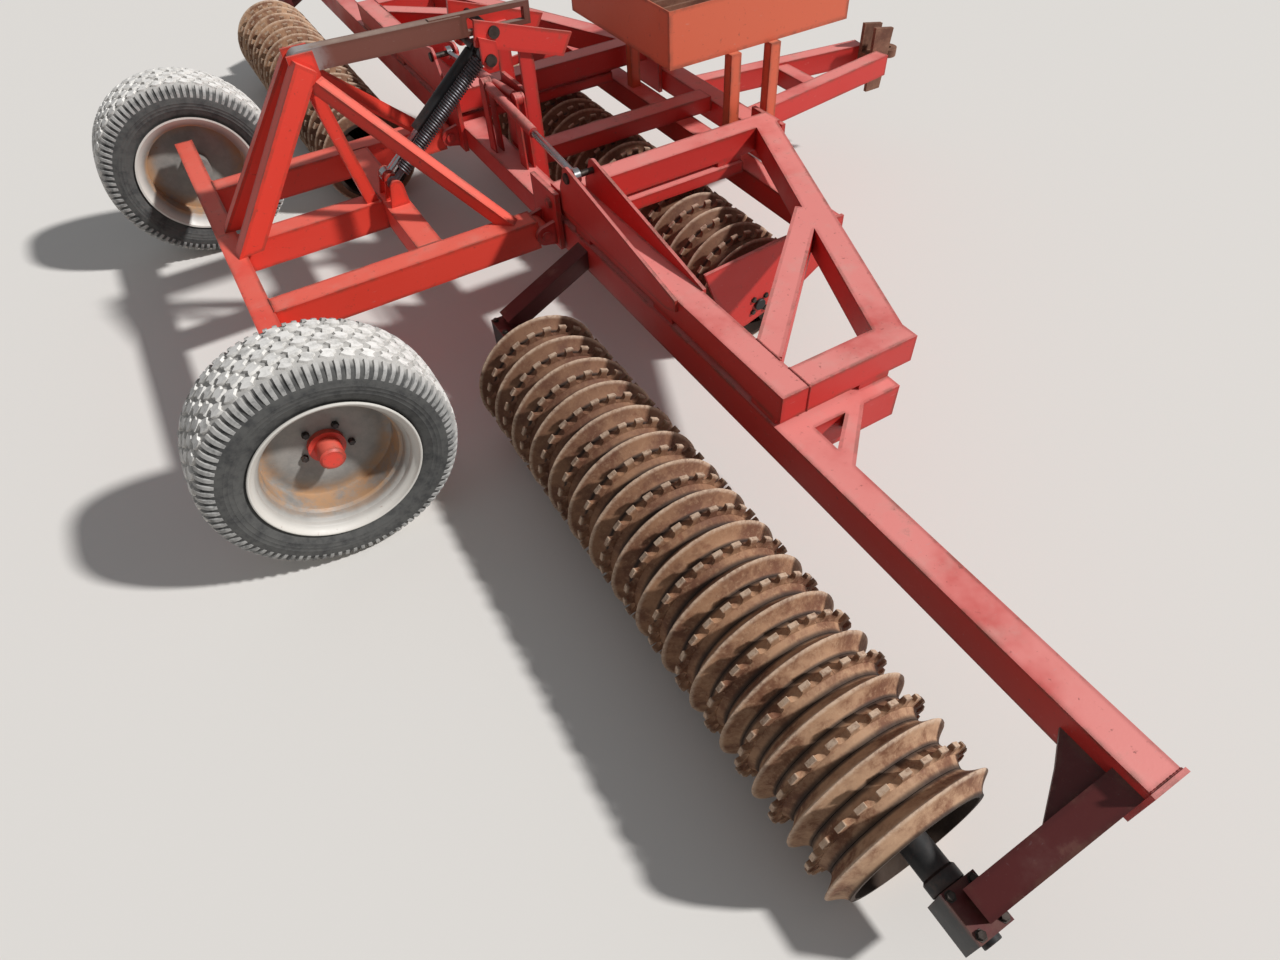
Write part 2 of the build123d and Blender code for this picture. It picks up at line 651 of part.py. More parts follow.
# Lever plates on both sides of the carrier's rear beam, with the hole for the fold cylinder's pin
lever_outline = make_face(
    Polyline(
        (-LEVER_INNER_Y, LEVER_BOTTOM),
        (-LEVER_INNER_Y, 720),
        (-LEVER_EYE_Y + LEVER_EYE_RADIUS, LEVER_EYE_Z),
        (-LEVER_EYE_Y, LEVER_EYE_Z + LEVER_EYE_RADIUS),
        (-LEVER_OUTER_Y, CARRIER_TOP + 5),
        (-LEVER_OUTER_Y, LEVER_BOTTOM + 20),
        (-LEVER_OUTER_Y + 60, LEVER_BOTTOM),
        close=True,
    )
) + Pos(-LEVER_EYE_Y, LEVER_EYE_Z) * Circle(LEVER_EYE_RADIUS)
lever_outline -= Pos(-LEVER_EYE_Y, LEVER_EYE_Z) * Circle(FOLD_PIN_RADIUS)
levers = []
for back_x in (carrier_back_x - LEVER_PLATE, -carrier_back_x):
    plane = Plane(origin=(back_x, 0, 0), x_dir=(0, 1, 0), z_dir=(1, 0, 0))
    levers.append(extrude(plane * lever_outline, LEVER_PLATE))
lever_pair = together(levers)
add_pair("lever_plates", lever_pair)

# Roller frame: the long beam, its two forward arms, a gusset and the packers under the carrier
long_beam = block(ROLLER_BACK_X, ROLLER_FRONT_X, -ROLLER_OUTER_Y, -ROLLER_INNER_Y, ROLLER_BOTTOM, ROLLER_TOP)
end_plate = block(
    ROLLER_BACK_X - 6,
    ROLLER_FRONT_X + 6,
    -ROLLER_OUTER_Y - END_PLATE,
    -ROLLER_OUTER_Y,
    ROLLER_BOTTOM - 6,
    ROLLER_TOP + 6,
)
inner_arm = block(
    ROLLER_FRONT_X, INNER_ARM_FRONT_X, -ROLLER_INNER_Y - ROLLER_TUBE_WIDTH, -ROLLER_INNER_Y, INNER_ARM_BOTTOM, ROLLER_TOP
)
outer_arm = block(
    ROLLER_FRONT_X, OUTER_ARM_FRONT_X, -OUTER_ARM_Y - 50, -OUTER_ARM_Y + 50, ROLLER_BOTTOM, ROLLER_TOP
)
gusset = level_plate([(20, -2270), (20, -2190), (190, -2040), (240, -2060)], ROLLER_TOP - 60, 60)
packers = [
    block(ROLLER_BACK_X + 9, ROLLER_FRONT_X, -y - 60, -y + 60, ROLLER_TOP, CARRIER_BOTTOM) for y in (760, 1350, 1930)
]
packers.append(
    block(
        OUTER_ARM_FRONT_X - 120,
        OUTER_ARM_FRONT_X,
        -CARRIER_OUTER_Y,
        -OUTER_ARM_Y + ROLLER_TUBE_WIDTH / 2,
        ROLLER_TOP,
        CARRIER_BOTTOM,
    )
)
packers.append(block(INNER_ARM_FRONT_X - 120, INNER_ARM_FRONT_X, -610, -540, ROLLER_TOP, CARRIER_BOTTOM))
add_pair("roller_frame", joined([long_beam, end_plate, inner_arm, outer_arm, gusset, *packers]))

# Roller arms with their bearings, one at each end of the wing gang
cut_front = block(ROLLER_BACK_X, ROLLER_FRONT_X + 300, -4000, 0, 0, 1000)
wing_shaft_hole = rod((WING_GANG_X, -4000, GANG_Z), (WING_GANG_X, 0, GANG_Z), SHAFT_RADIUS + PIN_CLEARANCE)
arms = []
bearings = []
for y in (INNER_BEARING_Y, OUTER_BEARING_Y):
    flange_top = BEARING_TOP + BEARING_FLANGE
    strut = beam((ROLLER_BACK_X + 60, -y, 520), (WING_GANG_X, -y, flange_top + 5), ARM_TUBE, ARM_TUBE_HEIGHT)
    below = block(WING_GANG_X - 300, ROLLER_FRONT_X, -y - 200, -y + 200, 0, flange_top)
    flange = block(
        WING_GANG_X - BEARING_WIDTH / 2,
        WING_GANG_X + BEARING_WIDTH / 2,
        -y - BEARING_LENGTH / 2,
        -y + BEARING_LENGTH / 2,
        BEARING_TOP,
        flange_top,
    )
    arms.append((strut - cut_front - below) + flange)
    housing = block(
        WING_GANG_X - BEARING_WIDTH / 2,
        WING_GANG_X + BEARING_WIDTH / 2,
        -y - BEARING_LENGTH / 2,
        -y + BEARING_LENGTH / 2,
        BEARING_BOTTOM,
        BEARING_TOP,
    )
    bearings.append(housing - wing_shaft_hole)
add_pair("roller_arms", together(arms))
add_pair("roller_bearings", together(bearings))

# Gangs
half_bearing = BEARING_LENGTH / 2
wing_hub_ends = (-OUTER_BEARING_Y + half_bearing, -INNER_BEARING_Y - half_bearing)
wing_shaft_ends = (
    -OUTER_BEARING_Y - half_bearing - SHAFT_OVERHANG,
    -INNER_BEARING_Y + half_bearing + SHAFT_OVERHANG,
)
add_pair("wing_gang", gang(WING_RING_COUNT, -WING_GANG_OUTER_Y, WING_GANG_X, wing_hub_ends, wing_shaft_ends))
centre_hub_end = GANG_PLATE_Y - GANG_BEARING_DEPTH
centre_shaft_end = GANG_PLATE_Y + GANG_PLATE + SHAFT_OVERHANG
add(
    "centre_gang",
    gang(
        CENTRE_RING_COUNT,
        -CENTRE_GANG_SPAN / 2,
        CENTRE_GANG_X,
        (-centre_hub_end, centre_hub_end),
        (-centre_shaft_end, centre_shaft_end),
    ),
)

# Tail frame: two side beams with their pivot tubes, the middle beam and the cross beam with its ears
axle_front_x = -AXLE_BACK + 35
axle_beam = block(
    axle_front_x - AXLE_BEAM_WIDTH, axle_front_x, -AXLE_BEAM_HALF, AXLE_BEAM_HALF, TAIL_BOTTOM - 3, TAIL_TOP
)
add("axle_beam", axle_beam)
tail_bars = []
pivot_gap = rod((PIVOT_X, -900, PIVOT_Z), (PIVOT_X, 900, PIVOT_Z), PIVOT_PIN_RADIUS + PIN_CLEARANCE)
for side in (-1, 1):
    middle = side * TAIL_BEAM_Y
    half = TAIL_BEAM_WIDTH / 2
    side_beam = block(axle_front_x, PIVOT_X - 20, middle - half, middle + half, TAIL_BOTTOM, TAIL_TOP)
    tube = rod((PIVOT_X, middle - half, PIVOT_Z), (PIVOT_X, middle + half, PIVOT_Z), PIVOT_TUBE_RADIUS)
    tail_bars += [side_beam, tube]
cross_back_x = TAIL_CROSS_X - TAIL_CROSS_WIDTH / 2
cross_front_x = TAIL_CROSS_X + TAIL_CROSS_WIDTH / 2
tail_bars.append(block(cross_back_x, cross_front_x, -TAIL_BEAM_Y, TAIL_BEAM_Y, TAIL_BOTTOM, TAIL_TOP))
tail_bars.append(block(axle_front_x, cross_back_x, -50, 50, TAIL_BOTTOM, TAIL_TOP))
add("tail_frame", joined(tail_bars) - pivot_gap)
ear_profile = make_face(
    Polyline((EAR_X - 45, TAIL_TOP), (EAR_X + 35, TAIL_TOP), (EAR_X + 28, EAR_Z), (EAR_X - 28, EAR_Z), close=True)
) + Pos(EAR_X, EAR_Z) * Circle(28)
ear_starts = (-115.0, -46.0, 22.0 + 12.0)
ears = [standing(ear_profile, y0, 12) for y0 in ear_starts]
ear_pin = rod((EAR_X, -127, EAR_Z), (EAR_X, 34, EAR_Z), GEAR_PIN_RADIUS)
add("tail_ears", joined([*ears, ear_pin]))

# Rear mast: two legs that lean forward from the axle beam to the pin of the top link
legs = []
for side in (-1, 1):
    foot = (-AXLE_BACK, side * REAR_MAST_FOOT_Y, TAIL_TOP - 60)
    top = (REAR_MAST_X, side * REAR_MAST_TOP_Y, REAR_MAST_Z)
    legs.append(beam(foot, top, 60, 80) - block(-1500, -600, -1000, 1000, 0, TAIL_TOP))
head = [
    side_plate([(-800, 1060), (-700, 1060), (-705, 1185), (-800, 1185)], y0, 12)
    for y0 in (-REAR_MAST_TOP_Y + 10, REAR_MAST_TOP_Y - 22)
]
mast_pin = rod((REAR_MAST_X, -REAR_MAST_TOP_Y + 10, REAR_MAST_Z), (REAR_MAST_X, REAR_MAST_TOP_Y - 10, REAR_MAST_Z), GEAR_PIN_RADIUS)
link_slot = block(-1100, -300, -REAR_MAST_TOP_Y + 22, REAR_MAST_TOP_Y - 22, 1040, 1400)
add("rear_mast", joined([joined(legs) - link_slot, *head, mast_pin]))

# Mast stays
MIDDLE_STAY_FOOT_X = -655.0
stays = []
for side in (-1, 1):
    stays.append(beam((REAR_MAST_X + 20, side * 75, 1085), (-235, side * 520, TAIL_TOP - 25), 50, 50))
stays.append(beam((REAR_MAST_X + 5, 0, 1065), (MIDDLE_STAY_FOOT_X, 0, TAIL_TOP - 25), 60, 50))
stay_cut = joined([nodes["tail_frame"], nodes["rear_mast"]])
stay_solids = []
for stay in stays:
    pieces = (stay - stay_cut).solids()
    stay_solids.append(max(pieces, key=lambda piece: piece.volume))
add("mast_stays", together(stay_solids))

# Wheels: tyre and rim as revolved sections about the axle, and the spindle that carries them
def revolved(points, axle_x, axle_y, axle_z):
    """A ring from (radius, y) points, turned about an axle along Y."""
    section = make_face(Polyline(*points, close=True))
    return Pos(axle_x, axle_y, axle_z) * revolve(section, Axis.Y)


tyre_half = TYRE_WIDTH / 2
tyre_flank = [
    (RIM_SEAT_RADIUS + 1, RIM_HALF - 22),
    (RIM_LIP_RADIUS + 2, RIM_HALF - 14),
    (TYRE_RADIUS - 66, tyre_half),
    (TYRE_RADIUS, tyre_half - 62),
]
tyre_section = tyre_flank + [(r, -y) for r, y in reversed(tyre_flank)]
rim_edge = [
    (RIM_LIP_RADIUS - 9, RIM_HALF),
    (RIM_LIP_RADIUS, RIM_HALF),
    (RIM_SEAT_RADIUS, RIM_HALF - RIM_BEAD),
]
bore_radius = SPINDLE_RADIUS + PIN_CLEARANCE
disc_back = DISC_FACE - DISC_PLATE
rim_section = [
    *rim_edge,
    *[(r, -y) for r, y in reversed(rim_edge)],
    (RIM_WELL_RADIUS, -RIM_HALF + 2 * RIM_BEAD),
    (RIM_WELL_RADIUS, disc_back),
    (HUB_BODY_RADIUS, disc_back),
    (HUB_BODY_RADIUS, HUB_BODY_BACK),
    (bore_radius, HUB_BODY_BACK),
    (bore_radius, DISC_FACE),
    (RIM_WELL_RADIUS, DISC_FACE),
    (RIM_WELL_RADIUS, RIM_HALF - 2 * RIM_BEAD),
]
hub_cap_section = [
    (0, DISC_FACE),
    (HUB_FLANGE_RADIUS, DISC_FACE),
    (HUB_FLANGE_RADIUS, HUB_FLANGE_FRONT),
    (HUB_CAP_RADIUS, HUB_FLANGE_FRONT),
    (HUB_CAP_RADIUS, HUB_CAP_FRONT - HUB_CAP_CHAMFER),
    (HUB_CAP_RADIUS - HUB_CAP_CHAMFER, HUB_CAP_FRONT),
    (0, HUB_CAP_FRONT),
]
for name, side in (("right", -1), ("left", 1)):
    outwards = [(r, side * y) for r, y in tyre_section]
    add("tyre_" + name, revolved(outwards, -AXLE_BACK, side * WHEEL_Y, SPINDLE_Z))
    rim_points = [(r, side * y) for r, y in rim_section]
    add("rim_" + name, revolved(rim_points, -AXLE_BACK, side * WHEEL_Y, SPINDLE_Z))
    cap_points = [(r, side * y) for r, y in hub_cap_section]
    add("hub_cap_" + name, revolved(cap_points, -AXLE_BACK, side * WHEEL_Y, SPINDLE_Z))

spindle_end = WHEEL_Y + DISC_FACE - SWING_GAP
spindle = rod((-AXLE_BACK, -900, SPINDLE_Z), (-AXLE_BACK, -spindle_end, SPINDLE_Z), SPINDLE_RADIUS) + block(
    -AXLE_BACK - 30, -AXLE_BACK + 30, -1000, -780, SPINDLE_Z - 29, TAIL_BOTTOM - 3
)
add("spindles", both_sides(spindle))

# Fold cylinders, crossed: each barrel hangs on the anchor beyond the middle, its rod on the wing's lever
fold_run_y = FOLD_ANCHOR_Y + LEVER_EYE_Y
fold_length = hypot(fold_run_y, LEVER_EYE_Z - FOLD_ANCHOR_Z)
fold_slope = Vector(0, -fold_run_y, LEVER_EYE_Z - FOLD_ANCHOR_Z).normalized()
FOLD_STROKE = 310.0


def on_fold(distance):
    """A point of the right wing's cylinder axis, from its anchor."""
    point = Vector(-FOLD_OFFSET, FOLD_ANCHOR_Y, FOLD_ANCHOR_Z) + fold_slope * distance
    return (point.X, point.Y, point.Z)


def eye_disc(point, radius):
    x, y, z = point
    return rod((x - FOLD_EYE_WIDTH / 2, y, z), (x + FOLD_EYE_WIDTH / 2, y, z), radius)


def eye_bore(point, radius):
    x, y, z = point
    return rod((x - 60, y, z), (x + 60, y, z), radius)


barrel_end = FOLD_BARREL_LENGTH
FOLD_NECK = 40.0
fold_neck = beam(on_fold(0), on_fold(FOLD_NECK), FOLD_EYE_WIDTH, 34)
fold_barrel = joined(
    [
        eye_disc(on_fold(0), ANCHOR_EYE_RADIUS - 1),
        fold_neck,
        rod(on_fold(FOLD_NECK - 2), on_fold(barrel_end), FOLD_BARREL_RADIUS),
    ]
)
fold_barrel = fold_barrel - eye_bore(on_fold(0), FOLD_PIN_RADIUS + PIN_CLEARANCE)
fold_bore_start = barrel_end - FOLD_STROKE - 50
fold_barrel = fold_barrel - rod(on_fold(fold_bore_start), on_fold(barrel_end + 10), FOLD_ROD_RADIUS + PIN_CLEARANCE)
fold_rod = joined(
    [
        rod(on_fold(barrel_end - 40), on_fold(fold_length - 15), FOLD_ROD_RADIUS),
        eye_disc(on_fold(fold_length), FOLD_EYE_RADIUS),
    ]
)
fold_rod = fold_rod - eye_bore(on_fold(fold_length), FOLD_PIN_RADIUS + PIN_CLEARANCE)
across = Location((0, 0, 0), (0, 0, 1), 180)
add("fold_barrel_right", fold_barrel)
add("fold_rod_right", fold_rod)
add("fold_barrel_left", fold_barrel.moved(across))
add("fold_rod_left", fold_rod.moved(across))

# Lift cylinder and spring, side by side from the centre mast to the ears on the tail
lift_span = Vector(EAR_X - LIFT_PIN_X, 0, EAR_Z - LIFT_PIN_Z)
lift_length = lift_span.length
lift_slope = lift_span.normalized()


def on_lift(distance, y):
    point = Vector(LIFT_PIN_X, y, LIFT_PIN_Z) + lift_slope * distance
    return (point.X, point.Y, point.Z)


def cross_eye(point, radius, width):
    x, y, z = point
    return rod((x, y - width / 2, z), (x, y + width / 2, z), radius)


LIFT_BARREL_RADIUS = 32.0
LIFT_ROD_RADIUS = 17.0
LIFT_BARREL_LENGTH = 400.0
LIFT_STROKE = 120.0
eye_hole_radius = GEAR_PIN_RADIUS + PIN_CLEARANCE
LIFT_EYE_RADIUS = 30.0
LIFT_EYE_WIDTH = 40.0
lift_barrel = joined(
    [
        cross_eye(on_lift(0, 0), LIFT_EYE_RADIUS, LIFT_EYE_WIDTH),
        rod(on_lift(22, 0), on_lift(LIFT_BARREL_LENGTH, 0), LIFT_BARREL_RADIUS),
    ]
)
lift_barrel = lift_barrel - cross_eye(on_lift(0, 0), eye_hole_radius, 80)
lift_barrel = lift_barrel - rod(on_lift(200, 0), on_lift(LIFT_BARREL_LENGTH + 10, 0), LIFT_ROD_RADIUS + PIN_CLEARANCE)
lift_rod = joined(
    [
        rod(on_lift(LIFT_BARREL_LENGTH - 160, 0), on_lift(lift_length - 18, 0), LIFT_ROD_RADIUS),
        cross_eye(on_lift(lift_length, 0), LIFT_EYE_RADIUS, LIFT_EYE_WIDTH),
    ]
)
lift_rod = lift_rod - cross_eye(on_lift(lift_length, 0), GEAR_PIN_RADIUS + 2, 80)
add("lift_barrel", lift_barrel)
add("lift_rod", lift_rod)
SPRING_RADIUS = 30.0
SPRING_ROD_RADIUS = 12.0
SPRING_LENGTH = 560.0
SPRING_EYE_RADIUS = 26.0
SPRING_EYE_WIDTH = 16.0
spring = joined(
    [
        cross_eye(on_lift(0, SPRING_Y), SPRING_EYE_RADIUS, SPRING_EYE_WIDTH),
        rod(on_lift(20, SPRING_Y), on_lift(SPRING_LENGTH, SPRING_Y), SPRING_RADIUS),
    ]
)
spring = spring - cross_eye(on_lift(0, SPRING_Y), eye_hole_radius, 80)
spring = spring - rod(on_lift(300, SPRING_Y), on_lift(SPRING_LENGTH + 10, SPRING_Y), SPRING_ROD_RADIUS + 1)
spring_rod = joined(
    [
        rod(on_lift(330, SPRING_Y), on_lift(lift_length - 18, SPRING_Y), SPRING_ROD_RADIUS),
        cross_eye(on_lift(lift_length, SPRING_Y), SPRING_EYE_RADIUS, SPRING_EYE_WIDTH),
    ]
)
spring_rod = spring_rod - cross_eye(on_lift(lift_length, SPRING_Y), GEAR_PIN_RADIUS + 2, 80)
add("spring", spring)
add("spring_rod", spring_rod)

# Top link: a bar that turns on the rear mast's pin, with a slotted plate that slides along the centre mast's pin
link_run = Vector(LINK_PIN_X - REAR_MAST_X, 0, LINK_PIN_Z - REAR_MAST_Z)
link_rest = link_run.length
link_dir = link_run.normalized()
LINK_WIDTH = 56.0
LINK_HEIGHT = 76.0
LINK_PLATE_WIDTH = 30.0
LINK_EYE_RADIUS = 38.0
SLOT_BACK = 56.0
SLOT_FRONT = 188.0
SLOT_EDGE = 26.0
SLOT_PLAY = 9.0


def on_link(distance):
    point = Vector(REAR_MAST_X, 0, REAR_MAST_Z) + link_dir * distance
    return (point.X, point.Y, point.Z)


link_bar = beam(on_link(0), on_link(link_rest - SLOT_BACK - SLOT_EDGE), LINK_WIDTH, LINK_HEIGHT)
link_eye = rod(
    (REAR_MAST_X, -LINK_WIDTH / 2, REAR_MAST_Z), (REAR_MAST_X, LINK_WIDTH / 2, REAR_MAST_Z), LINK_EYE_RADIUS
)
link_plate = beam(
    on_link(link_rest - SLOT_BACK - 150), on_link(link_rest + SLOT_FRONT + SLOT_EDGE), LINK_PLATE_WIDTH, LINK_HEIGHT + 8
)
slot = beam(
    on_link(link_rest - SLOT_BACK), on_link(link_rest + SLOT_FRONT), LINK_WIDTH + 24, 2 * (GEAR_PIN_RADIUS + SLOT_PLAY)
)
link_hole = rod((REAR_MAST_X, -90, REAR_MAST_Z), (REAR_MAST_X, 90, REAR_MAST_Z), eye_hole_radius)
top_link = joined([link_bar, link_eye, link_plate]) - slot - link_hole
add("top_link", top_link)

for name, shape in nodes.items():
    export_step(Pos(FRAME_SHIFT, 0, 0) * shape, "parts/" + name + ".step")
print(len(nodes), "nodes, frame shift", FRAME_SHIFT)
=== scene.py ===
# %% [markdown]
# # A towed land roller
# The machine has three gangs of iron rings: one under its middle frame and one under each wing that folds
# up on a cylinder. Behind them a lifting tail runs on two wheels. The working frame is painted square tube,
# so most of the lesson is about three things: cast rings with their edges worn bright, paint that has faded
# and chipped and is painted lighter on top as a painted highlight, and dusty tyres.
#
# The frame comes packed from CAD. We load it first, because every piece that we add sits on it.

# %% Load the frame
import random
from math import atan2, cos, hypot, pi, radians, sin

import bmesh
import bpy
from mathutils import Matrix, Vector


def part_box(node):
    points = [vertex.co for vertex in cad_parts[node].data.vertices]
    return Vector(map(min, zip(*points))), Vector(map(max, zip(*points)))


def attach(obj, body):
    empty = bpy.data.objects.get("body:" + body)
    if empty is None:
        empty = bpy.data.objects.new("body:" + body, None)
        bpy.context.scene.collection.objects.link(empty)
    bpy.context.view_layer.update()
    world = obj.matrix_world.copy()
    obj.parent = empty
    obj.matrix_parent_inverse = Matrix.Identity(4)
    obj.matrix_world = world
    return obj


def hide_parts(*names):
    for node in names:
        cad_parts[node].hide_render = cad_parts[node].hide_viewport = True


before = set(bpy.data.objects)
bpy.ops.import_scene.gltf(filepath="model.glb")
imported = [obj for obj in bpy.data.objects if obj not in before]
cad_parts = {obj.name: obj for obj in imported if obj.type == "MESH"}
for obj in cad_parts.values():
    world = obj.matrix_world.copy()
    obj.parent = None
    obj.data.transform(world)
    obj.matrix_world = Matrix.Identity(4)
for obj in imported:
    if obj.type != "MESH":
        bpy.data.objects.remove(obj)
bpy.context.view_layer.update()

# %% [markdown]
# ## Camera
# The photograph was taken from beside the right wing, looking down over the rings at the towing end. A
# camera that was fitted to the straight tubes gives us its place, its three angles and its focal length in
# pixels. Blender wants the focal length in millimetres of a 36 mm sensor, so we convert it.

# %% Camera at the photograph's viewing angle
IMAGE_WIDTH = 1280
SENSOR_WIDTH = 36.0
FOCAL_PIXELS = 790.6
YAW, PITCH, ROLL = 0.4918, -0.8562, -0.0636
CAMERA_PLACE = Vector((-1.5161, -3.2685, 2.2725))

ahead = Vector((sin(YAW) * cos(PITCH), cos(YAW) * cos(PITCH), sin(PITCH)))
level = Vector((cos(YAW), -sin(YAW), 0.0))
above = level.cross(ahead)
right = cos(ROLL) * level + sin(ROLL) * above
top = cos(ROLL) * above - sin(ROLL) * level

camera_data = bpy.data.cameras.new("camera")
camera_data.sensor_width = SENSOR_WIDTH
camera_data.lens = FOCAL_PIXELS * SENSOR_WIDTH / IMAGE_WIDTH
camera_data.clip_end = 100.0
camera = bpy.data.objects.new("camera", camera_data)
bpy.context.collection.objects.link(camera)
turn = Matrix((right, top, -ahead)).transposed().to_4x4()
camera.matrix_world = Matrix.Translation(CAMERA_PLACE) @ turn
bpy.context.scene.camera = camera
print("lens", round(camera_data.lens, 2), "mm")

# %% [markdown]
# ## Light and floor
# In the field the sun stands over the towing side, 40 degrees up, as the wheels' shadows show. We keep its direction, because it draws the rings'
# shadows, but make it a broader, softer source, with a plain pale world that fills the shade. Sun and world
# together light a level face at about 1, so that a colour shows about as it is written.

# %% Sun, world and floor
SUN_TOWARDS = Vector((1.26, -0.97, 1.35))
SUN_STRENGTH = 3.7
SUN_ANGLE = radians(3.5)
WORLD_STRENGTH = 0.27
FLOOR_COLOUR = (0.72, 0.69, 0.65, 1.0)
FLOOR_HALF = 30.0

sun_data = bpy.data.lights.new("sun", "SUN")
sun_data.energy = SUN_STRENGTH
sun_data.angle = SUN_ANGLE
sun = bpy.data.objects.new("sun", sun_data)
bpy.context.collection.objects.link(sun)
sun.rotation_euler = SUN_TOWARDS.to_track_quat("Z", "Y").to_euler()

world = bpy.data.worlds.new("studio")
bpy.context.scene.world = world
world.use_nodes = True
background = world.node_tree.nodes["Background"]
background.inputs["Color"].default_value = (0.92, 0.95, 1.0, 1.0)
background.inputs["Strength"].default_value = WORLD_STRENGTH
bpy.context.scene.view_settings.view_transform = "Standard"


def piece_from(name, points, faces, finish, smooth=radians(35)):
    """A mesh object from points and faces, with doubled points merged and its sharp edges kept."""
    mesh = bpy.data.meshes.new(name)
    mesh.from_pydata([tuple(point) for point in points], [], faces)
    work = bmesh.new()
    work.from_mesh(mesh)
    bmesh.ops.remove_doubles(work, verts=work.verts, dist=1e-6)
    bmesh.ops.recalc_face_normals(work, faces=work.faces)
    work.to_mesh(mesh)
    work.free()
    mesh.shade_smooth()
    mesh.set_sharp_from_angle(angle=smooth)
    piece = bpy.data.objects.new(name, mesh)
    bpy.context.collection.objects.link(piece)
    piece.data.materials.append(finish)
    return piece


def plain_finish(name, colour, roughness):
    """A one-colour material, for the floor alone."""
    material = bpy.data.materials.new(name)
    material.use_nodes = True
    shader = material.node_tree.nodes["Principled BSDF"]
    shader.inputs["Base Color"].default_value = colour
    shader.inputs["Roughness"].default_value = roughness
    return material


floor_corners = [(x, y, 0.0) for x, y in ((-1, -1), (1, -1), (1, 1), (-1, 1))]
floor_points = [(x * FLOOR_HALF, y * FLOOR_HALF, z) for x, y, z in floor_corners]
floor = piece_from("floor", floor_points, [(0, 1, 2, 3)], plain_finish("floor", FLOOR_COLOUR, 0.9))

# %% [markdown]
# ## Finishes
# Every finish here is a base colour that something has happened to: sun has faded it, dust has settled on
# it, edges have worn. A small helper adds shader nodes by plain words, so that each finish reads as the
# story of its surface. Textures use object coordinates in metres, so a scratch has a real size and stays
# on the piece when a wing folds.

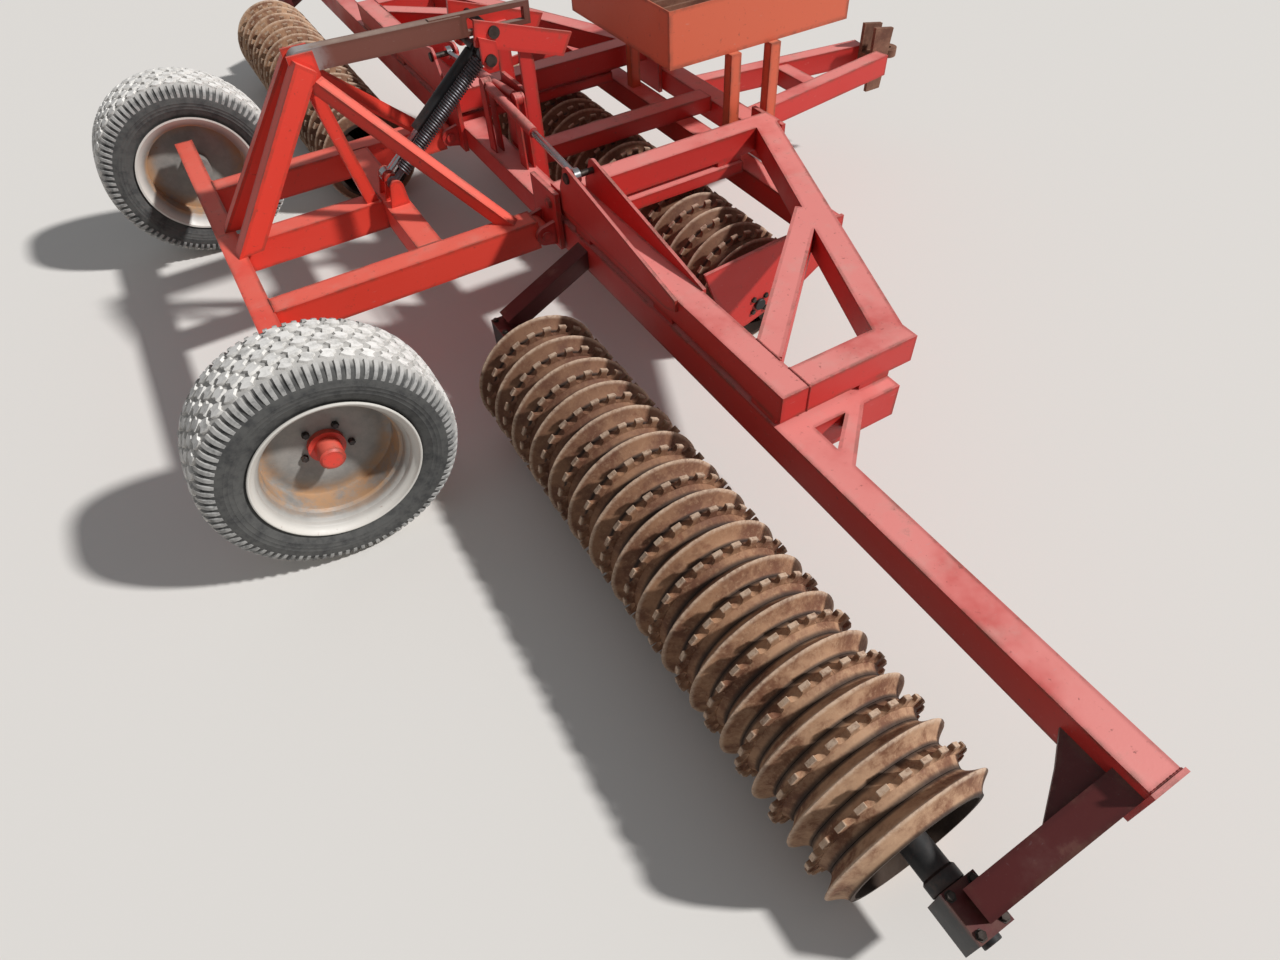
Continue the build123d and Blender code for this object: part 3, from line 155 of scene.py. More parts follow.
# %% A helper that wires a finish
class Finish:
    """One material: nodes are added by plain words and wired as they come."""

    def __init__(self, name, metallic=0.0):
        self.material = bpy.data.materials.new(name)
        self.material.use_nodes = True
        self.nodes = self.material.node_tree.nodes
        self.links = self.material.node_tree.links
        self.shader = self.nodes["Principled BSDF"]
        self.shader.inputs["Metallic"].default_value = metallic
        coordinates = self.nodes.new("ShaderNodeTexCoord")
        self.place = coordinates.outputs["Object"]
        self.facing = coordinates.outputs["Normal"]

    def feed(self, socket, source):
        """Wires a source into a socket, or sets it where the source is a plain number or colour."""
        if isinstance(source, bpy.types.NodeSocket):
            self.links.new(source, socket)
        else:
            socket.default_value = source

    def noise(self, scale, detail=4.0, stretch=(1.0, 1.0, 1.0), roughness=0.6):
        """Cloudy noise, scale in waves a metre, from 0 to 1."""
        where = self.nodes.new("ShaderNodeMapping")
        self.feed(where.inputs["Vector"], self.place)
        where.inputs["Scale"].default_value = stretch
        cloud = self.nodes.new("ShaderNodeTexNoise")
        self.feed(cloud.inputs["Vector"], where.outputs["Vector"])
        cloud.inputs["Scale"].default_value = scale
        cloud.inputs["Detail"].default_value = detail
        cloud.inputs["Roughness"].default_value = roughness
        return cloud.outputs["Fac"]

    def band(self, source, low, high):
        """0 below low and 1 above high, smoothly between."""
        spread = self.nodes.new("ShaderNodeMapRange")
        spread.interpolation_type = "SMOOTHSTEP"
        self.feed(spread.inputs["Value"], source)
        spread.inputs["From Min"].default_value = low
        spread.inputs["From Max"].default_value = high
        return spread.outputs["Result"]

    def sum_of(self, operation, first, second=0.0):
        """A sum on two values, such as MULTIPLY or ADD, held between 0 and 1."""
        node = self.nodes.new("ShaderNodeMath")
        node.operation = operation
        node.use_clamp = True
        self.feed(node.inputs[0], first)
        self.feed(node.inputs[1], second)
        return node.outputs[0]

    def blend(self, share, first, second):
        """A colour that goes from first to second with share."""
        node = self.nodes.new("ShaderNodeMix")
        node.data_type = "RGBA"
        self.feed(node.inputs[0], share)
        for socket, colour in ((node.inputs[6], first), (node.inputs[7], second)):
            self.feed(socket, colour if isinstance(colour, bpy.types.NodeSocket) else (*colour, 1.0))
        return node.outputs[2]

    def upward(self, low=0.2, high=0.9):
        """1 on faces that look up on the piece itself."""
        parts = self.nodes.new("ShaderNodeSeparateXYZ")
        self.feed(parts.inputs[0], self.facing)
        return self.band(parts.outputs["Z"], low, high)

    def edges(self, reach):
        """1 along sharp edges, found where a rounded normal leaves the flat one."""
        rounded = self.nodes.new("ShaderNodeBevel")
        rounded.samples = 4
        rounded.inputs["Radius"].default_value = reach
        flat = self.nodes.new("ShaderNodeNewGeometry")
        agree = self.nodes.new("ShaderNodeVectorMath")
        agree.operation = "DOT_PRODUCT"
        self.feed(agree.inputs[0], rounded.outputs["Normal"])
        self.feed(agree.inputs[1], flat.outputs["True Normal"])
        return self.band(self.sum_of("SUBTRACT", 1.0, agree.outputs["Value"]), 0.003, 0.035)

    def radius_from(self, x, z):
        """Distance in metres from the line along Y through x and z."""
        vectors = []
        for operation, second in (("SUBTRACT", (x, 0.0, z)), ("MULTIPLY", (1.0, 0.0, 1.0)), ("LENGTH", None)):
            node = self.nodes.new("ShaderNodeVectorMath")
            node.operation = operation
            self.feed(node.inputs[0], vectors[-1].outputs[0] if vectors else self.place)
            if second is not None:
                node.inputs[1].default_value = second
            vectors.append(node)
        return vectors[-1].outputs["Value"]

    def along(self, axis):
        """The distance from the machine's middle along X or Y, in metres, on either side."""
        parts = self.nodes.new("ShaderNodeSeparateXYZ")
        self.feed(parts.inputs[0], self.place)
        node = self.nodes.new("ShaderNodeMath")
        node.operation = "ABSOLUTE"
        self.feed(node.inputs[0], parts.outputs[axis])
        return node.outputs[0]

    def bump(self, height, depth, strength=0.5):
        """Relief of the given depth in metres."""
        node = self.nodes.new("ShaderNodeBump")
        node.inputs["Strength"].default_value = strength
        node.inputs["Distance"].default_value = depth
        self.feed(node.inputs["Height"], height)
        self.links.new(node.outputs["Normal"], self.shader.inputs["Normal"])

    def done(self, colour, roughness):
        """Wires colour and roughness to the shader and hands over the material."""
        self.feed(self.shader.inputs["Base Color"], colour)
        self.feed(self.shader.inputs["Roughness"], roughness)
        return self.material


# %% [markdown]
# ### Paint
# The red paint has bleached to a dusty pink on top, and the top faces also get a painted highlight, so the
# pink there is part fading and part painted light; it stays deep red on the sides. Its edges have worn to
# rust and scratches run along the tubes. We stretch noise until it is thin streaks for the scratches, and
# use the rounded-normal trick for the edges, which works however coarse the mesh is.

# %% Paint finishes
RUST = (0.13, 0.05, 0.03)
DUST = (0.55, 0.45, 0.38)


def paint(name, fresh, faded_and_lit, fade_and_highlight=0.7, wear=0.75, dust=0.25, bare_from=None):
    """Paint that fades on top, where it is also painted lighter as a painted highlight, with scratches, grime and worn
    edges; past x = -bare_from it is worn to steel.
    """
    finish = Finish(name)
    patches = finish.noise(2.2, 5.0)
    # Top faces take the faded colour: real sun fading, together with a painted highlight where light falls on top.
    faded_lit_top = finish.sum_of("MULTIPLY", finish.upward(), finish.band(patches, 0.18, 0.5))
    colour = finish.blend(finish.sum_of("MULTIPLY", faded_lit_top, fade_and_highlight), fresh, faded_and_lit)
    settled = finish.sum_of("MULTIPLY", finish.upward(), finish.band(finish.noise(9.0, 6.0), 0.48, 0.75))
    colour = finish.blend(finish.sum_of("MULTIPLY", settled, dust), colour, DUST)
    streaks = finish.band(finish.noise(95.0, 5.0, stretch=(0.22, 1.0, 1.0)), 0.66, 0.74)
    cross_streaks = finish.band(finish.noise(95.0, 5.0, stretch=(1.0, 0.22, 1.0)), 0.67, 0.75)
    scratches = finish.sum_of("MULTIPLY", finish.sum_of("ADD", streaks, cross_streaks), 0.35)
    colour = finish.blend(scratches, colour, tuple(0.55 * part + 0.16 for part in faded_and_lit))
    grime = finish.band(finish.noise(4.5, 8.0, roughness=0.7), 0.62, 0.72)
    colour = finish.blend(finish.sum_of("MULTIPLY", grime, 0.5), colour, (0.22, 0.09, 0.06))
    specks = finish.band(finish.noise(52.0, 7.0, roughness=0.75), 0.61, 0.68)
    colour = finish.blend(finish.sum_of("MULTIPLY", specks, 0.65), colour, (0.15, 0.04, 0.03))
    edge = finish.edges(0.022)
    colour = finish.blend(finish.sum_of("MULTIPLY", edge, 0.45), colour, tuple(0.42 * part for part in fresh))
    chips = finish.sum_of("MULTIPLY", edge, finish.band(finish.noise(9.0, 8.0, roughness=0.7), 0.46, 0.58))
    spots = finish.band(finish.noise(14.0, 8.0, roughness=0.75), 0.70, 0.76)
    worn = finish.sum_of("ADD", finish.sum_of("MULTIPLY", chips, wear), finish.sum_of("MULTIPLY", spots, wear))
    colour = finish.blend(worn, colour, RUST)
    if bare_from:
        bare = finish.band(finish.along("X"), bare_from, bare_from + 0.1)
        patchy = finish.sum_of("MULTIPLY", bare, finish.band(finish.noise(12.0, 7.0, roughness=0.7), 0.32, 0.52))
        colour = finish.blend(finish.sum_of("MULTIPLY", patchy, 0.85), colour, (0.34, 0.33, 0.32))
    finish.bump(finish.noise(90.0, 3.0), 0.0006, 0.35)
    return finish.done(colour, finish.band(patches, -0.6, 1.6))


red_paint = paint("red_paint", (0.52, 0.026, 0.020), (0.80, 0.27, 0.24), fade_and_highlight=0.9)
tail_paint = paint("tail_paint", (0.74, 0.052, 0.030), (0.80, 0.17, 0.12), fade_and_highlight=0.7, dust=0.15)
mast_paint = paint("mast_paint", (0.60, 0.034, 0.024), (0.76, 0.20, 0.16), fade_and_highlight=0.8)
tray_paint = paint("tray_paint", (0.62, 0.12, 0.055), (0.62, 0.20, 0.11), dust=0.3)
# The roller arms and their webs get a near-black red without fading: painted shade, darker than the beams' paint.
arm_shade_paint = paint("arm_shade_paint", (0.095, 0.009, 0.008), (0.14, 0.020, 0.017), fade_and_highlight=0.3, dust=0.06)
worn_paint = paint("worn_paint", (0.17, 0.060, 0.042), (0.33, 0.24, 0.19), wear=0.5, dust=0.4, bare_from=0.93)
black_paint = paint("black_paint", (0.012, 0.012, 0.013), (0.03, 0.029, 0.028), wear=0.35, dust=0.12)
print("paints made")

# %% [markdown]
# ### Iron, steel and rubber
# The rings are bare cast iron: rust brown on the flanks, pale and smooth along the edges that roll on the
# soil, with painted shade in their hollows and on the inner rings and painted sunlight on the outermost ones.
# The rods of the cylinders are polished. The tyres are pale with dust where they touched the ground and
# nearly black on the sidewall.

# %% Iron and steel finishes
def cast_iron(name, dark, light, edge, edge_reach=0.005):
    finish = Finish(name, metallic=0.25)
    cloud = finish.noise(7.0, 8.0, roughness=0.7)
    colour = finish.blend(finish.band(cloud, 0.35, 0.66), dark, light)
    fine = finish.noise(55.0, 6.0, roughness=0.7)
    colour = finish.blend(finish.sum_of("MULTIPLY", finish.band(fine, 0.5, 0.7), 0.45), colour, edge)
    colour = finish.blend(finish.sum_of("MULTIPLY", finish.edges(edge_reach), 0.75), colour, edge)
    finish.bump(fine, 0.0012, 0.6)
    return finish.done(colour, finish.band(fine, -0.9, 1.1))


def bare_steel(name, colour, shade, roughness_low, roughness_high):
    finish = Finish(name, metallic=1.0)
    cloud = finish.noise(30.0, 5.0)
    mixed = finish.blend(finish.band(cloud, 0.4, 0.7), colour, shade)
    spread = finish.nodes.new("ShaderNodeMapRange")
    finish.feed(spread.inputs["Value"], cloud)
    spread.inputs["To Min"].default_value = roughness_low
    spread.inputs["To Max"].default_value = roughness_high
    return finish.done(mixed, spread.outputs["Result"])


def ring_finish(name, axle_x, axle_z):
    """Cast rings: tan rust up the flanks and a pale rolled edge on the ridges, with painted shade that is near black
    in the hollows and darker on the rings towards the middle, and painted sunlight lightening the outermost rings.
    """
    finish = Finish(name, metallic=0.1)
    radius = finish.radius_from(axle_x, axle_z)
    cloud = finish.noise(8.0, 8.0, roughness=0.7)
    fine = finish.noise(70.0, 6.0, roughness=0.75)
    colour = finish.blend(finish.band(cloud, 0.36, 0.64), (0.16, 0.062, 0.030), (0.38, 0.20, 0.105))
    colour = finish.blend(finish.sum_of("MULTIPLY", finish.band(fine, 0.48, 0.7), 0.5), colour, (0.52, 0.33, 0.20))
    rust_spots = finish.band(finish.noise(26.0, 8.0, roughness=0.75), 0.56, 0.66)
    colour = finish.blend(finish.sum_of("MULTIPLY", rust_spots, 0.6), colour, (0.17, 0.050, 0.020))
    # Rings towards the middle are darkened: painted shade, as the frames above shade them.
    out_of_painted_shade = finish.band(finish.along("Y"), 0.9, 2.9)
    colour = finish.blend(finish.sum_of("MULTIPLY", finish.sum_of("SUBTRACT", 1.0, out_of_painted_shade), 0.6), colour,
                          (0.085, 0.030, 0.016))
    # The outermost rings are lightened to a pale tan: painted sunlight on their flanks.
    outermost_painted_sunlight = finish.sum_of("MULTIPLY", finish.band(finish.along("Y"), 2.2, 3.1), finish.band(cloud, 0.42, 0.6))
    colour = finish.blend(finish.sum_of("MULTIPLY", outermost_painted_sunlight, 0.3), colour, (0.68, 0.48, 0.32))
    rolled = finish.sum_of("MULTIPLY", finish.band(radius, 0.236, 0.249), finish.band(fine, 0.25, 0.6))
    colour = finish.blend(finish.sum_of("MULTIPLY", rolled, 0.8), colour, (0.60, 0.45, 0.33))
    # Near the rings' base the iron goes near black: painted shade in the hollows between the rings.
    hollow_shade = finish.sum_of("SUBTRACT", 1.0, finish.band(radius, 0.2025, 0.2075))
    colour = finish.blend(finish.sum_of("MULTIPLY", hollow_shade, 0.92), colour, (0.022, 0.013, 0.009))
    finish.bump(fine, 0.0014, 0.7)
    return finish.done(colour, finish.band(fine, -0.9, 1.1))


GANG_LOW, GANG_HIGH = (Vector(corner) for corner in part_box("wing_gang_right"))
CENTRE_LOW, CENTRE_HIGH = (Vector(corner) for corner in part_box("centre_gang"))
GANG_AXLE = (GANG_LOW + GANG_HIGH) / 2
CENTRE_AXLE = (CENTRE_LOW + CENTRE_HIGH) / 2
ring_iron = ring_finish("ring_iron", GANG_AXLE.x, GANG_AXLE.z)
centre_ring_iron = ring_finish("centre_ring_iron", CENTRE_AXLE.x, CENTRE_AXLE.z)
rusty_steel = cast_iron("rusty_steel", (0.13, 0.05, 0.03), (0.25, 0.12, 0.075), (0.34, 0.2, 0.13), 0.004)
spring_steel = bare_steel("spring_steel", (0.16, 0.16, 0.17), (0.09, 0.085, 0.085), 0.35, 0.6)
bright_steel = bare_steel("bright_steel", (0.62, 0.62, 0.63), (0.5, 0.49, 0.48), 0.12, 0.35)
dark_steel = bare_steel("dark_steel", (0.10, 0.085, 0.075), (0.05, 0.04, 0.035), 0.45, 0.7)

# %% Rim paint
TYRE_LOW, TYRE_HIGH = (Vector(corner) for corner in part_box("tyre_right"))
WHEEL_AXLE = (TYRE_LOW + TYRE_HIGH) / 2
RIM_DIRT_FROM, RIM_DIRT_TO = 0.150, 0.216
RIM_BRIGHT_FROM, RIM_BRIGHT_TO = 0.222, 0.262

rim = Finish("rim_paint")
rim_radius = rim.radius_from(WHEEL_AXLE.x, WHEEL_AXLE.z)
rim_cloud = rim.noise(16.0, 8.0, roughness=0.7)
# The rim's grey below the lip band is darkened: painted shade on the disc.
rim_colour = rim.blend(rim.band(rim_cloud, 0.35, 0.7), (0.22, 0.21, 0.195), (0.30, 0.28, 0.255))
bright = rim.band(rim_radius, RIM_BRIGHT_FROM, RIM_BRIGHT_TO)
rim_colour = rim.blend(bright, rim_colour, (0.62, 0.59, 0.54))
near_corner = rim.band(rim_radius, RIM_DIRT_FROM, RIM_DIRT_TO)
past_corner = rim.sum_of("SUBTRACT", 1.0, rim.band(rim_radius, 0.2195, 0.236))
corner_dirt = rim.sum_of("MULTIPLY", near_corner, past_corner)
stain = rim.sum_of("MULTIPLY", corner_dirt, rim.band(rim.noise(9.0, 8.0, roughness=0.75), 0.36, 0.6))
rim_colour = rim.blend(rim.sum_of("MULTIPLY", stain, 0.9), rim_colour, (0.42, 0.24, 0.12))
speckle = rim.band(rim.noise(45.0, 8.0, roughness=0.75), 0.62, 0.7)
rim_colour = rim.blend(rim.sum_of("MULTIPLY", speckle, 0.6), rim_colour, (0.20, 0.09, 0.045))
rim.bump(rim.noise(120.0, 3.0), 0.0005, 0.3)
rim_paint = rim.done(rim_colour, rim.band(rim_cloud, -0.5, 1.5))

# %% Tyre rubber, dusty on the tread and dark on the sidewall
def tyre_finish(name, dark, pale, dust_share, crown_dust=0.0, pale_dust=(0.52, 0.50, 0.47)):
    """Rubber under a film of dust: dust_share is how much of it the dust hides, crown_dust more on the tread."""
    finish = Finish(name)
    cloud = finish.noise(24.0, 6.0, roughness=0.7)
    colour = finish.blend(finish.sum_of("MULTIPLY", finish.band(cloud, 0.25, 0.6), dust_share), dark, pale)
    scuffs = finish.band(finish.noise(60.0, 6.0, roughness=0.75), 0.58, 0.68)
    colour = finish.blend(finish.sum_of("MULTIPLY", scuffs, 0.55), colour, dark)
    if crown_dust:
        crown = finish.band(finish.radius_from(WHEEL_AXLE.x, WHEEL_AXLE.z), 0.388, 0.405)
        colour = finish.blend(finish.sum_of("MULTIPLY", crown, crown_dust), colour, pale_dust)
    finish.bump(finish.noise(140.0, 4.0), 0.0008, 0.5)
    return finish.done(colour, 0.85)


tyre_rubber = tyre_finish("tyre", (0.030, 0.030, 0.031), (0.12, 0.118, 0.11), 0.6, crown_dust=0.8)
tread_rubber = tyre_finish("tyre_tread", (0.40, 0.385, 0.36), (0.80, 0.775, 0.735), 0.95)
shoulder_rubber = tyre_finish("tyre_shoulder", (0.09, 0.09, 0.087), (0.46, 0.45, 0.43), 0.75, crown_dust=0.6)
print("finishes made")

# %% [markdown]
# ## Dressing the frame
# The tubes, plates and pins are right as they come from CAD, so they keep their shape. Rolled square tube
# has rounded corners, though, and a razor edge never catches the light. A planar decimate first merges the
# flat facets, and then a small bevel rounds what is left sharper than 40 degrees.

# %% Finishes and rounded edges on the CAD pieces
FINISH_OF = {
    "axle_beam": tail_paint,
    "tail_frame": tail_paint,
    "tail_ears": tail_paint,
    "rear_mast": tail_paint,
    "mast_stays": tail_paint,
    "tail_lugs": red_paint,
    "mast_arms": mast_paint,
    "lift_lugs": mast_paint,
    "tray": tray_paint,
    "tray_grating": rusty_steel,
    "tray_posts": tray_paint,
    "top_link": worn_paint,
    "hitch": rusty_steel,
    "roller_bearings": black_paint,
    "gang_bearings": black_paint,
    "lift_barrel": black_paint,
    "fold_barrel": red_paint,
    "roller_arms": arm_shade_paint,
    "lift_rod": bright_steel,
    "fold_rod": bright_steel,
    "spring": spring_steel,
    "spring_rod": spring_steel,
    "spindles": black_paint,
    "mast_pins": dark_steel,
    "hub_cap": tail_paint,
    "rim": rim_paint,
    "tyre": tyre_rubber,
    "wing_gang": ring_iron,
    "centre_gang": centre_ring_iron,
}
TUBE_CORNER = 0.007
PLATE_CORNER = 0.0018
TUBES = ("axle_beam", "tail_frame", "mast_stays", "rear_mast", "centre_frame", "gang_beam", "drawbar")
TUBES += ("wing_carrier", "roller_frame", "roller_arms", "tray_posts")
PLATES = ("lever_plates", "hinge_posts", "tail_lugs", "gang_plates", "centre_mast", "fold_anchors", "hitch")
PLATES += ("tray", "roller_bearings", "top_link", "tail_ears", "mast_back", "mast_arms", "lift_lugs")


def family(node):
    """The node's name without its side."""
    return node.removesuffix("_right").removesuffix("_left")


def rounded(piece, width, segments):
    flat = piece.modifiers.new("merge flat facets", "DECIMATE")
    flat.decimate_type = "DISSOLVE"
    flat.angle_limit = radians(0.5)
    corner = piece.modifiers.new("rounded corners", "BEVEL")
    corner.width = width
    corner.segments = segments
    corner.limit_method = "ANGLE"
    corner.angle_limit = radians(40)
    corner.use_clamp_overlap = True
    corner.harden_normals = True


for node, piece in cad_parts.items():
    finish = FINISH_OF.get(family(node), red_paint)
    for slot in piece.material_slots:
        slot.material = finish
    if family(node) in TUBES:
        rounded(piece, TUBE_CORNER, 3)
    elif family(node) in PLATES:
        rounded(piece, PLATE_CORNER, 2)
print(len(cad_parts), "CAD pieces dressed")

# %% [markdown]
# ## Gangs of rings
# A gang alternates smooth rings, whose thin lips cut the clods, with toothed rings between them. A smooth
# ring is one profile turned about the shaft, and its flanks are hollow, not straight. A toothed ring is a
# drum with a row of flared teeth. We build one of each as point lists and repeat them along the shaft,
# turning each toothed ring by its own amount, because they are never in line on a real gang.

# %% Ring shapes
RING_RADIUS = 0.250
TOOTH_RADIUS = 0.2485
BASE_RADIUS = 0.203
BORE_RADIUS = 0.190
RING_PITCH = 0.1433
RING_HALF = RING_PITCH / 4 - 0.0006
LIP_HALF = 0.0022
TOOTH_COUNT = 24
TOOTH_DISC_HALF = 0.008
TOOTH_FOOT_RADIUS = 0.2155
RIDGE_CHIP = 0.0016
RING_SEGMENTS = 96


def hollow_flank(top_radius, top_half, steps, power):
    """Points from the ring's wide base up its hollow flank to the top, as (radius, y)."""
    flank = []
    for step in range(steps + 1):
        share = step / steps
        y = RING_HALF + (top_half - RING_HALF) * share
        radius = BASE_RADIUS + (top_radius - BASE_RADIUS) * share**power
        flank.append((radius, y))
    return flank


def lathe(profile, segments, centre=(0.0, 0.0, 0.0), phase=0.0):
    """A closed (radius, y) profile turned about a line along Y through the centre."""
    cx, cy, cz = centre
    count = len(profile)
    points = []
    faces = []
    for k in range(segments):
        angle = 2 * pi * k / segments + phase
        for radius, y in profile:
            points.append((cx + radius * cos(angle), cy + y, cz + radius * sin(angle)))
        for i in range(count):
            j = (i + 1) % count
            after = (k + 1) % segments
            faces.append((k * count + i, k * count + j, after * count + j, after * count + i))
    return points, faces


def moved(shape, y, phase=0.0):
    """The same ring further along its shaft, turned by phase."""
    points, faces = shape
    turned = []
    for px, py, pz in points:
        turned.append((px * cos(phase) - pz * sin(phase), py + y, px * sin(phase) + pz * cos(phase)))
    return turned, faces


def merged(shapes):
    """Several shapes as one list of points and faces."""
    all_points = []
    all_faces = []
    for points, faces in shapes:
        start = len(all_points)
        all_points += points
        all_faces += [tuple(index + start for index in face) for face in faces]
    return all_points, all_faces


def smooth_ring():
    """One smooth ring; its ridge is nicked a little where stones have chipped it."""
    flank = hollow_flank(RING_RADIUS - 0.0015, LIP_HALF, 8, 1.75)
    crown = [(RING_RADIUS, LIP_HALF * 0.4)]
    near = flank + crown
    far = [(radius, -y) for radius, y in reversed(near)]
    points, faces = lathe(near + far + [(BORE_RADIUS, -RING_HALF), (BORE_RADIUS, RING_HALF)], RING_SEGMENTS)
    count = len(points) // RING_SEGMENTS
    chips = [CHIPS.random() ** 3 * RIDGE_CHIP for _ in range(RING_SEGMENTS)]
    nicked = []
    for index, (x, y, z) in enumerate(points):
        keep = 1.0 - chips[index // count] / RING_RADIUS if hypot(x, z) > RING_RADIUS - 0.002 else 1.0
        nicked.append((x * keep, y, z * keep))
    return nicked, faces


def toothed_ring():
    flank = hollow_flank(TOOTH_FOOT_RADIUS, TOOTH_DISC_HALF, 5, 1.6)
    far = [(radius, -y) for radius, y in reversed(flank)]
    drum = lathe(flank + far + [(BORE_RADIUS, -RING_HALF), (BORE_RADIUS, RING_HALF)], RING_SEGMENTS)
    shapes = [drum]
    for k in range(TOOTH_COUNT):
        shapes.append(tooth(k))
    return merged(shapes)


def tooth(k):
    """One flared tooth: (share of the pitch from its middle, radius) points up one side and down the other."""
    side = [(0.5, 0.2165), (0.40, 0.2175), (0.29, 0.2215), (0.22, 0.2280), (0.185, 0.2360), (0.22, 0.2425),
            (0.235, 0.2470), (0.21, TOOTH_RADIUS)]
    outline = list(side)
    outline += [(-share, radius) for share, radius in reversed(side)]
    outline += [(-0.5, 0.2130), (0.5, 0.2130)]
    points = []
    for half in (-TOOTH_DISC_HALF, TOOTH_DISC_HALF):
        for share, radius in outline:
            angle = 2 * pi * (k + share) / TOOTH_COUNT
            thinner = 1.0 if radius < 0.24 else 0.8
            points.append((radius * cos(angle), half * thinner, radius * sin(angle)))
    count = len(outline)
    faces = [tuple(range(count)), tuple(range(2 * count - 1, count - 1, -1))]
    for i in range(count):
        j = (i + 1) % count
        faces.append((i, j, count + j, count + i))
    return points, faces


CHIPS = random.Random(7)
SMOOTH_RING = smooth_ring()
TOOTHED_RING = toothed_ring()
print("smooth ring", len(SMOOTH_RING[1]), "faces, toothed ring", len(TOOTHED_RING[1]), "faces")

# %% [markdown]
# ## Shafts and hubs
# The rings sit on a through shaft. Collars take up the space to the bearings, and a spoked centre holds each
# end ring. We read the shaft's place from the CAD piece that the gang stands for.

# %% Gangs on their shafts
SHAFT_RADIUS = 0.025
COLLAR_RADIUS = 0.046
SPOKE_WIDTH = 0.028
SPOKE_DEPTH = 0.014
RING_ORDER = random.Random(24)


def disc_profile(radius, start, end, corner=0.002):
    """The closed profile of a solid disc with small corners."""
    return [(0.0, start), (radius - corner, start), (radius, start + corner), (radius, end - corner),
            (radius - corner, end), (0.0, end)]


def collar_profile(gang_end, bearing_end):
    """A collar that widens to a cup where it meets the bearing; its two ends may come in either order."""
    step = 1.0 if bearing_end > gang_end else -1.0
    cup = bearing_end - step * 0.034
    profile = [(0.0, gang_end), (COLLAR_RADIUS - 0.006, gang_end), (COLLAR_RADIUS - 0.006, cup - step * 0.006),
               (COLLAR_RADIUS, cup), (COLLAR_RADIUS, bearing_end - step * 0.003),
               (COLLAR_RADIUS - 0.003, bearing_end), (0.0, bearing_end)]
    return profile


def spoke(angle, y):
    """A flat bar from the hub out to the ring's bore."""
    points = []
    for radius in (COLLAR_RADIUS - 0.004, BORE_RADIUS + 0.002):
        for across, depth in ((-1, -1), (1, -1), (1, 1), (-1, 1)):
            x = radius * cos(angle) - across * SPOKE_WIDTH / 2 * sin(angle)
            z = radius * sin(angle) + across * SPOKE_WIDTH / 2 * cos(angle)
            points.append((x, y + depth * SPOKE_DEPTH / 2, z))
    faces = [(0, 1, 2, 3), (7, 6, 5, 4), (0, 4, 5, 1), (1, 5, 6, 2), (2, 6, 7, 3), (3, 7, 4, 0)]
    return points, faces


def make_gang(node, smooth_count, hub_ends):
    low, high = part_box(node)
    middle_y = (low[1] + high[1]) / 2 if node == "centre_gang" else None
    first_y = middle_y - (smooth_count - 1) * RING_PITCH / 2 if middle_y is not None else first_ridge(node)
    axis_x = (low[0] + high[0]) / 2
    shapes = []
    for k in range(smooth_count):
        shapes.append(moved(SMOOTH_RING, first_y + k * RING_PITCH, RING_ORDER.uniform(0.0, 2 * pi)))
    for k in range(smooth_count - 1):
        phase = RING_ORDER.uniform(0.0, 2 * pi / TOOTH_COUNT)
        shapes.append(moved(TOOTHED_RING, first_y + (k + 0.5) * RING_PITCH, phase))
    last_y = first_y + (smooth_count - 1) * RING_PITCH
    for y in (first_y, last_y):
        for k in range(6):
            shapes.append(spoke(pi / 3 * k, y))
    body = "centre_gang" if node == "centre_gang" else node.replace("wing_gang", "gang")
    finish = centre_ring_iron if node == "centre_gang" else ring_iron
    rings = placed_at_axle(node + "_rings", merged(shapes), axis_x, finish)
    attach(rings, body)
    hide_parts(node)
    shaft_shapes = [lathe(disc_profile(SHAFT_RADIUS, low[1], high[1]), 32)]
    shaft_shapes.append(lathe(collar_profile(first_y + 0.03, hub_ends[0]), 48))
    shaft_shapes.append(lathe(collar_profile(last_y - 0.03, hub_ends[1]), 48))
    shaft = placed_at_axle(node + "_shaft", merged(shaft_shapes), axis_x, black_paint)
    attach(shaft, body)
    print(node, len(rings.data.polygons), "faces of rings")


def placed_at_axle(name, shape, axis_x, finish):
    """A piece from a shape built round the origin, lifted onto the gang's axle."""
    points, faces = shape
    return piece_from(name, [(px + axis_x, py, pz + RING_RADIUS) for px, py, pz in points], faces, finish)


FIRST_RIDGE_Y = 1.036


def first_ridge(node):
    """The lowest y of a wing gang's ridges."""
    span = 14 * RING_PITCH
    return -FIRST_RIDGE_Y - span if node.endswith("right") else FIRST_RIDGE_Y


bearing_low, bearing_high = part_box("roller_bearings_right")
half_block = 0.06
outer_face = bearing_low[1] + 2 * half_block
inner_face = bearing_high[1] - 2 * half_block
make_gang("wing_gang_right", 15, (outer_face + 0.001, inner_face - 0.001))
make_gang("wing_gang_left", 15, (-inner_face + 0.001, -outer_face - 0.001))
make_gang("centre_gang", 16, (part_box("gang_bearings")[0][1] + 0.023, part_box("gang_bearings")[1][1] - 0.023))

# %% [markdown]
# ## Wheels
# The tyres have a block tread: five rows of Z-shaped blocks, each row shifted by half a block against the
# next, and narrow lugs over the shoulders. We bend flat outlines round the tyre's crown, so that every block
# follows the curve from the tread to the sidewall. The rim is one turned profile with a rolled lip, stepped
# ribs and a flat disc.

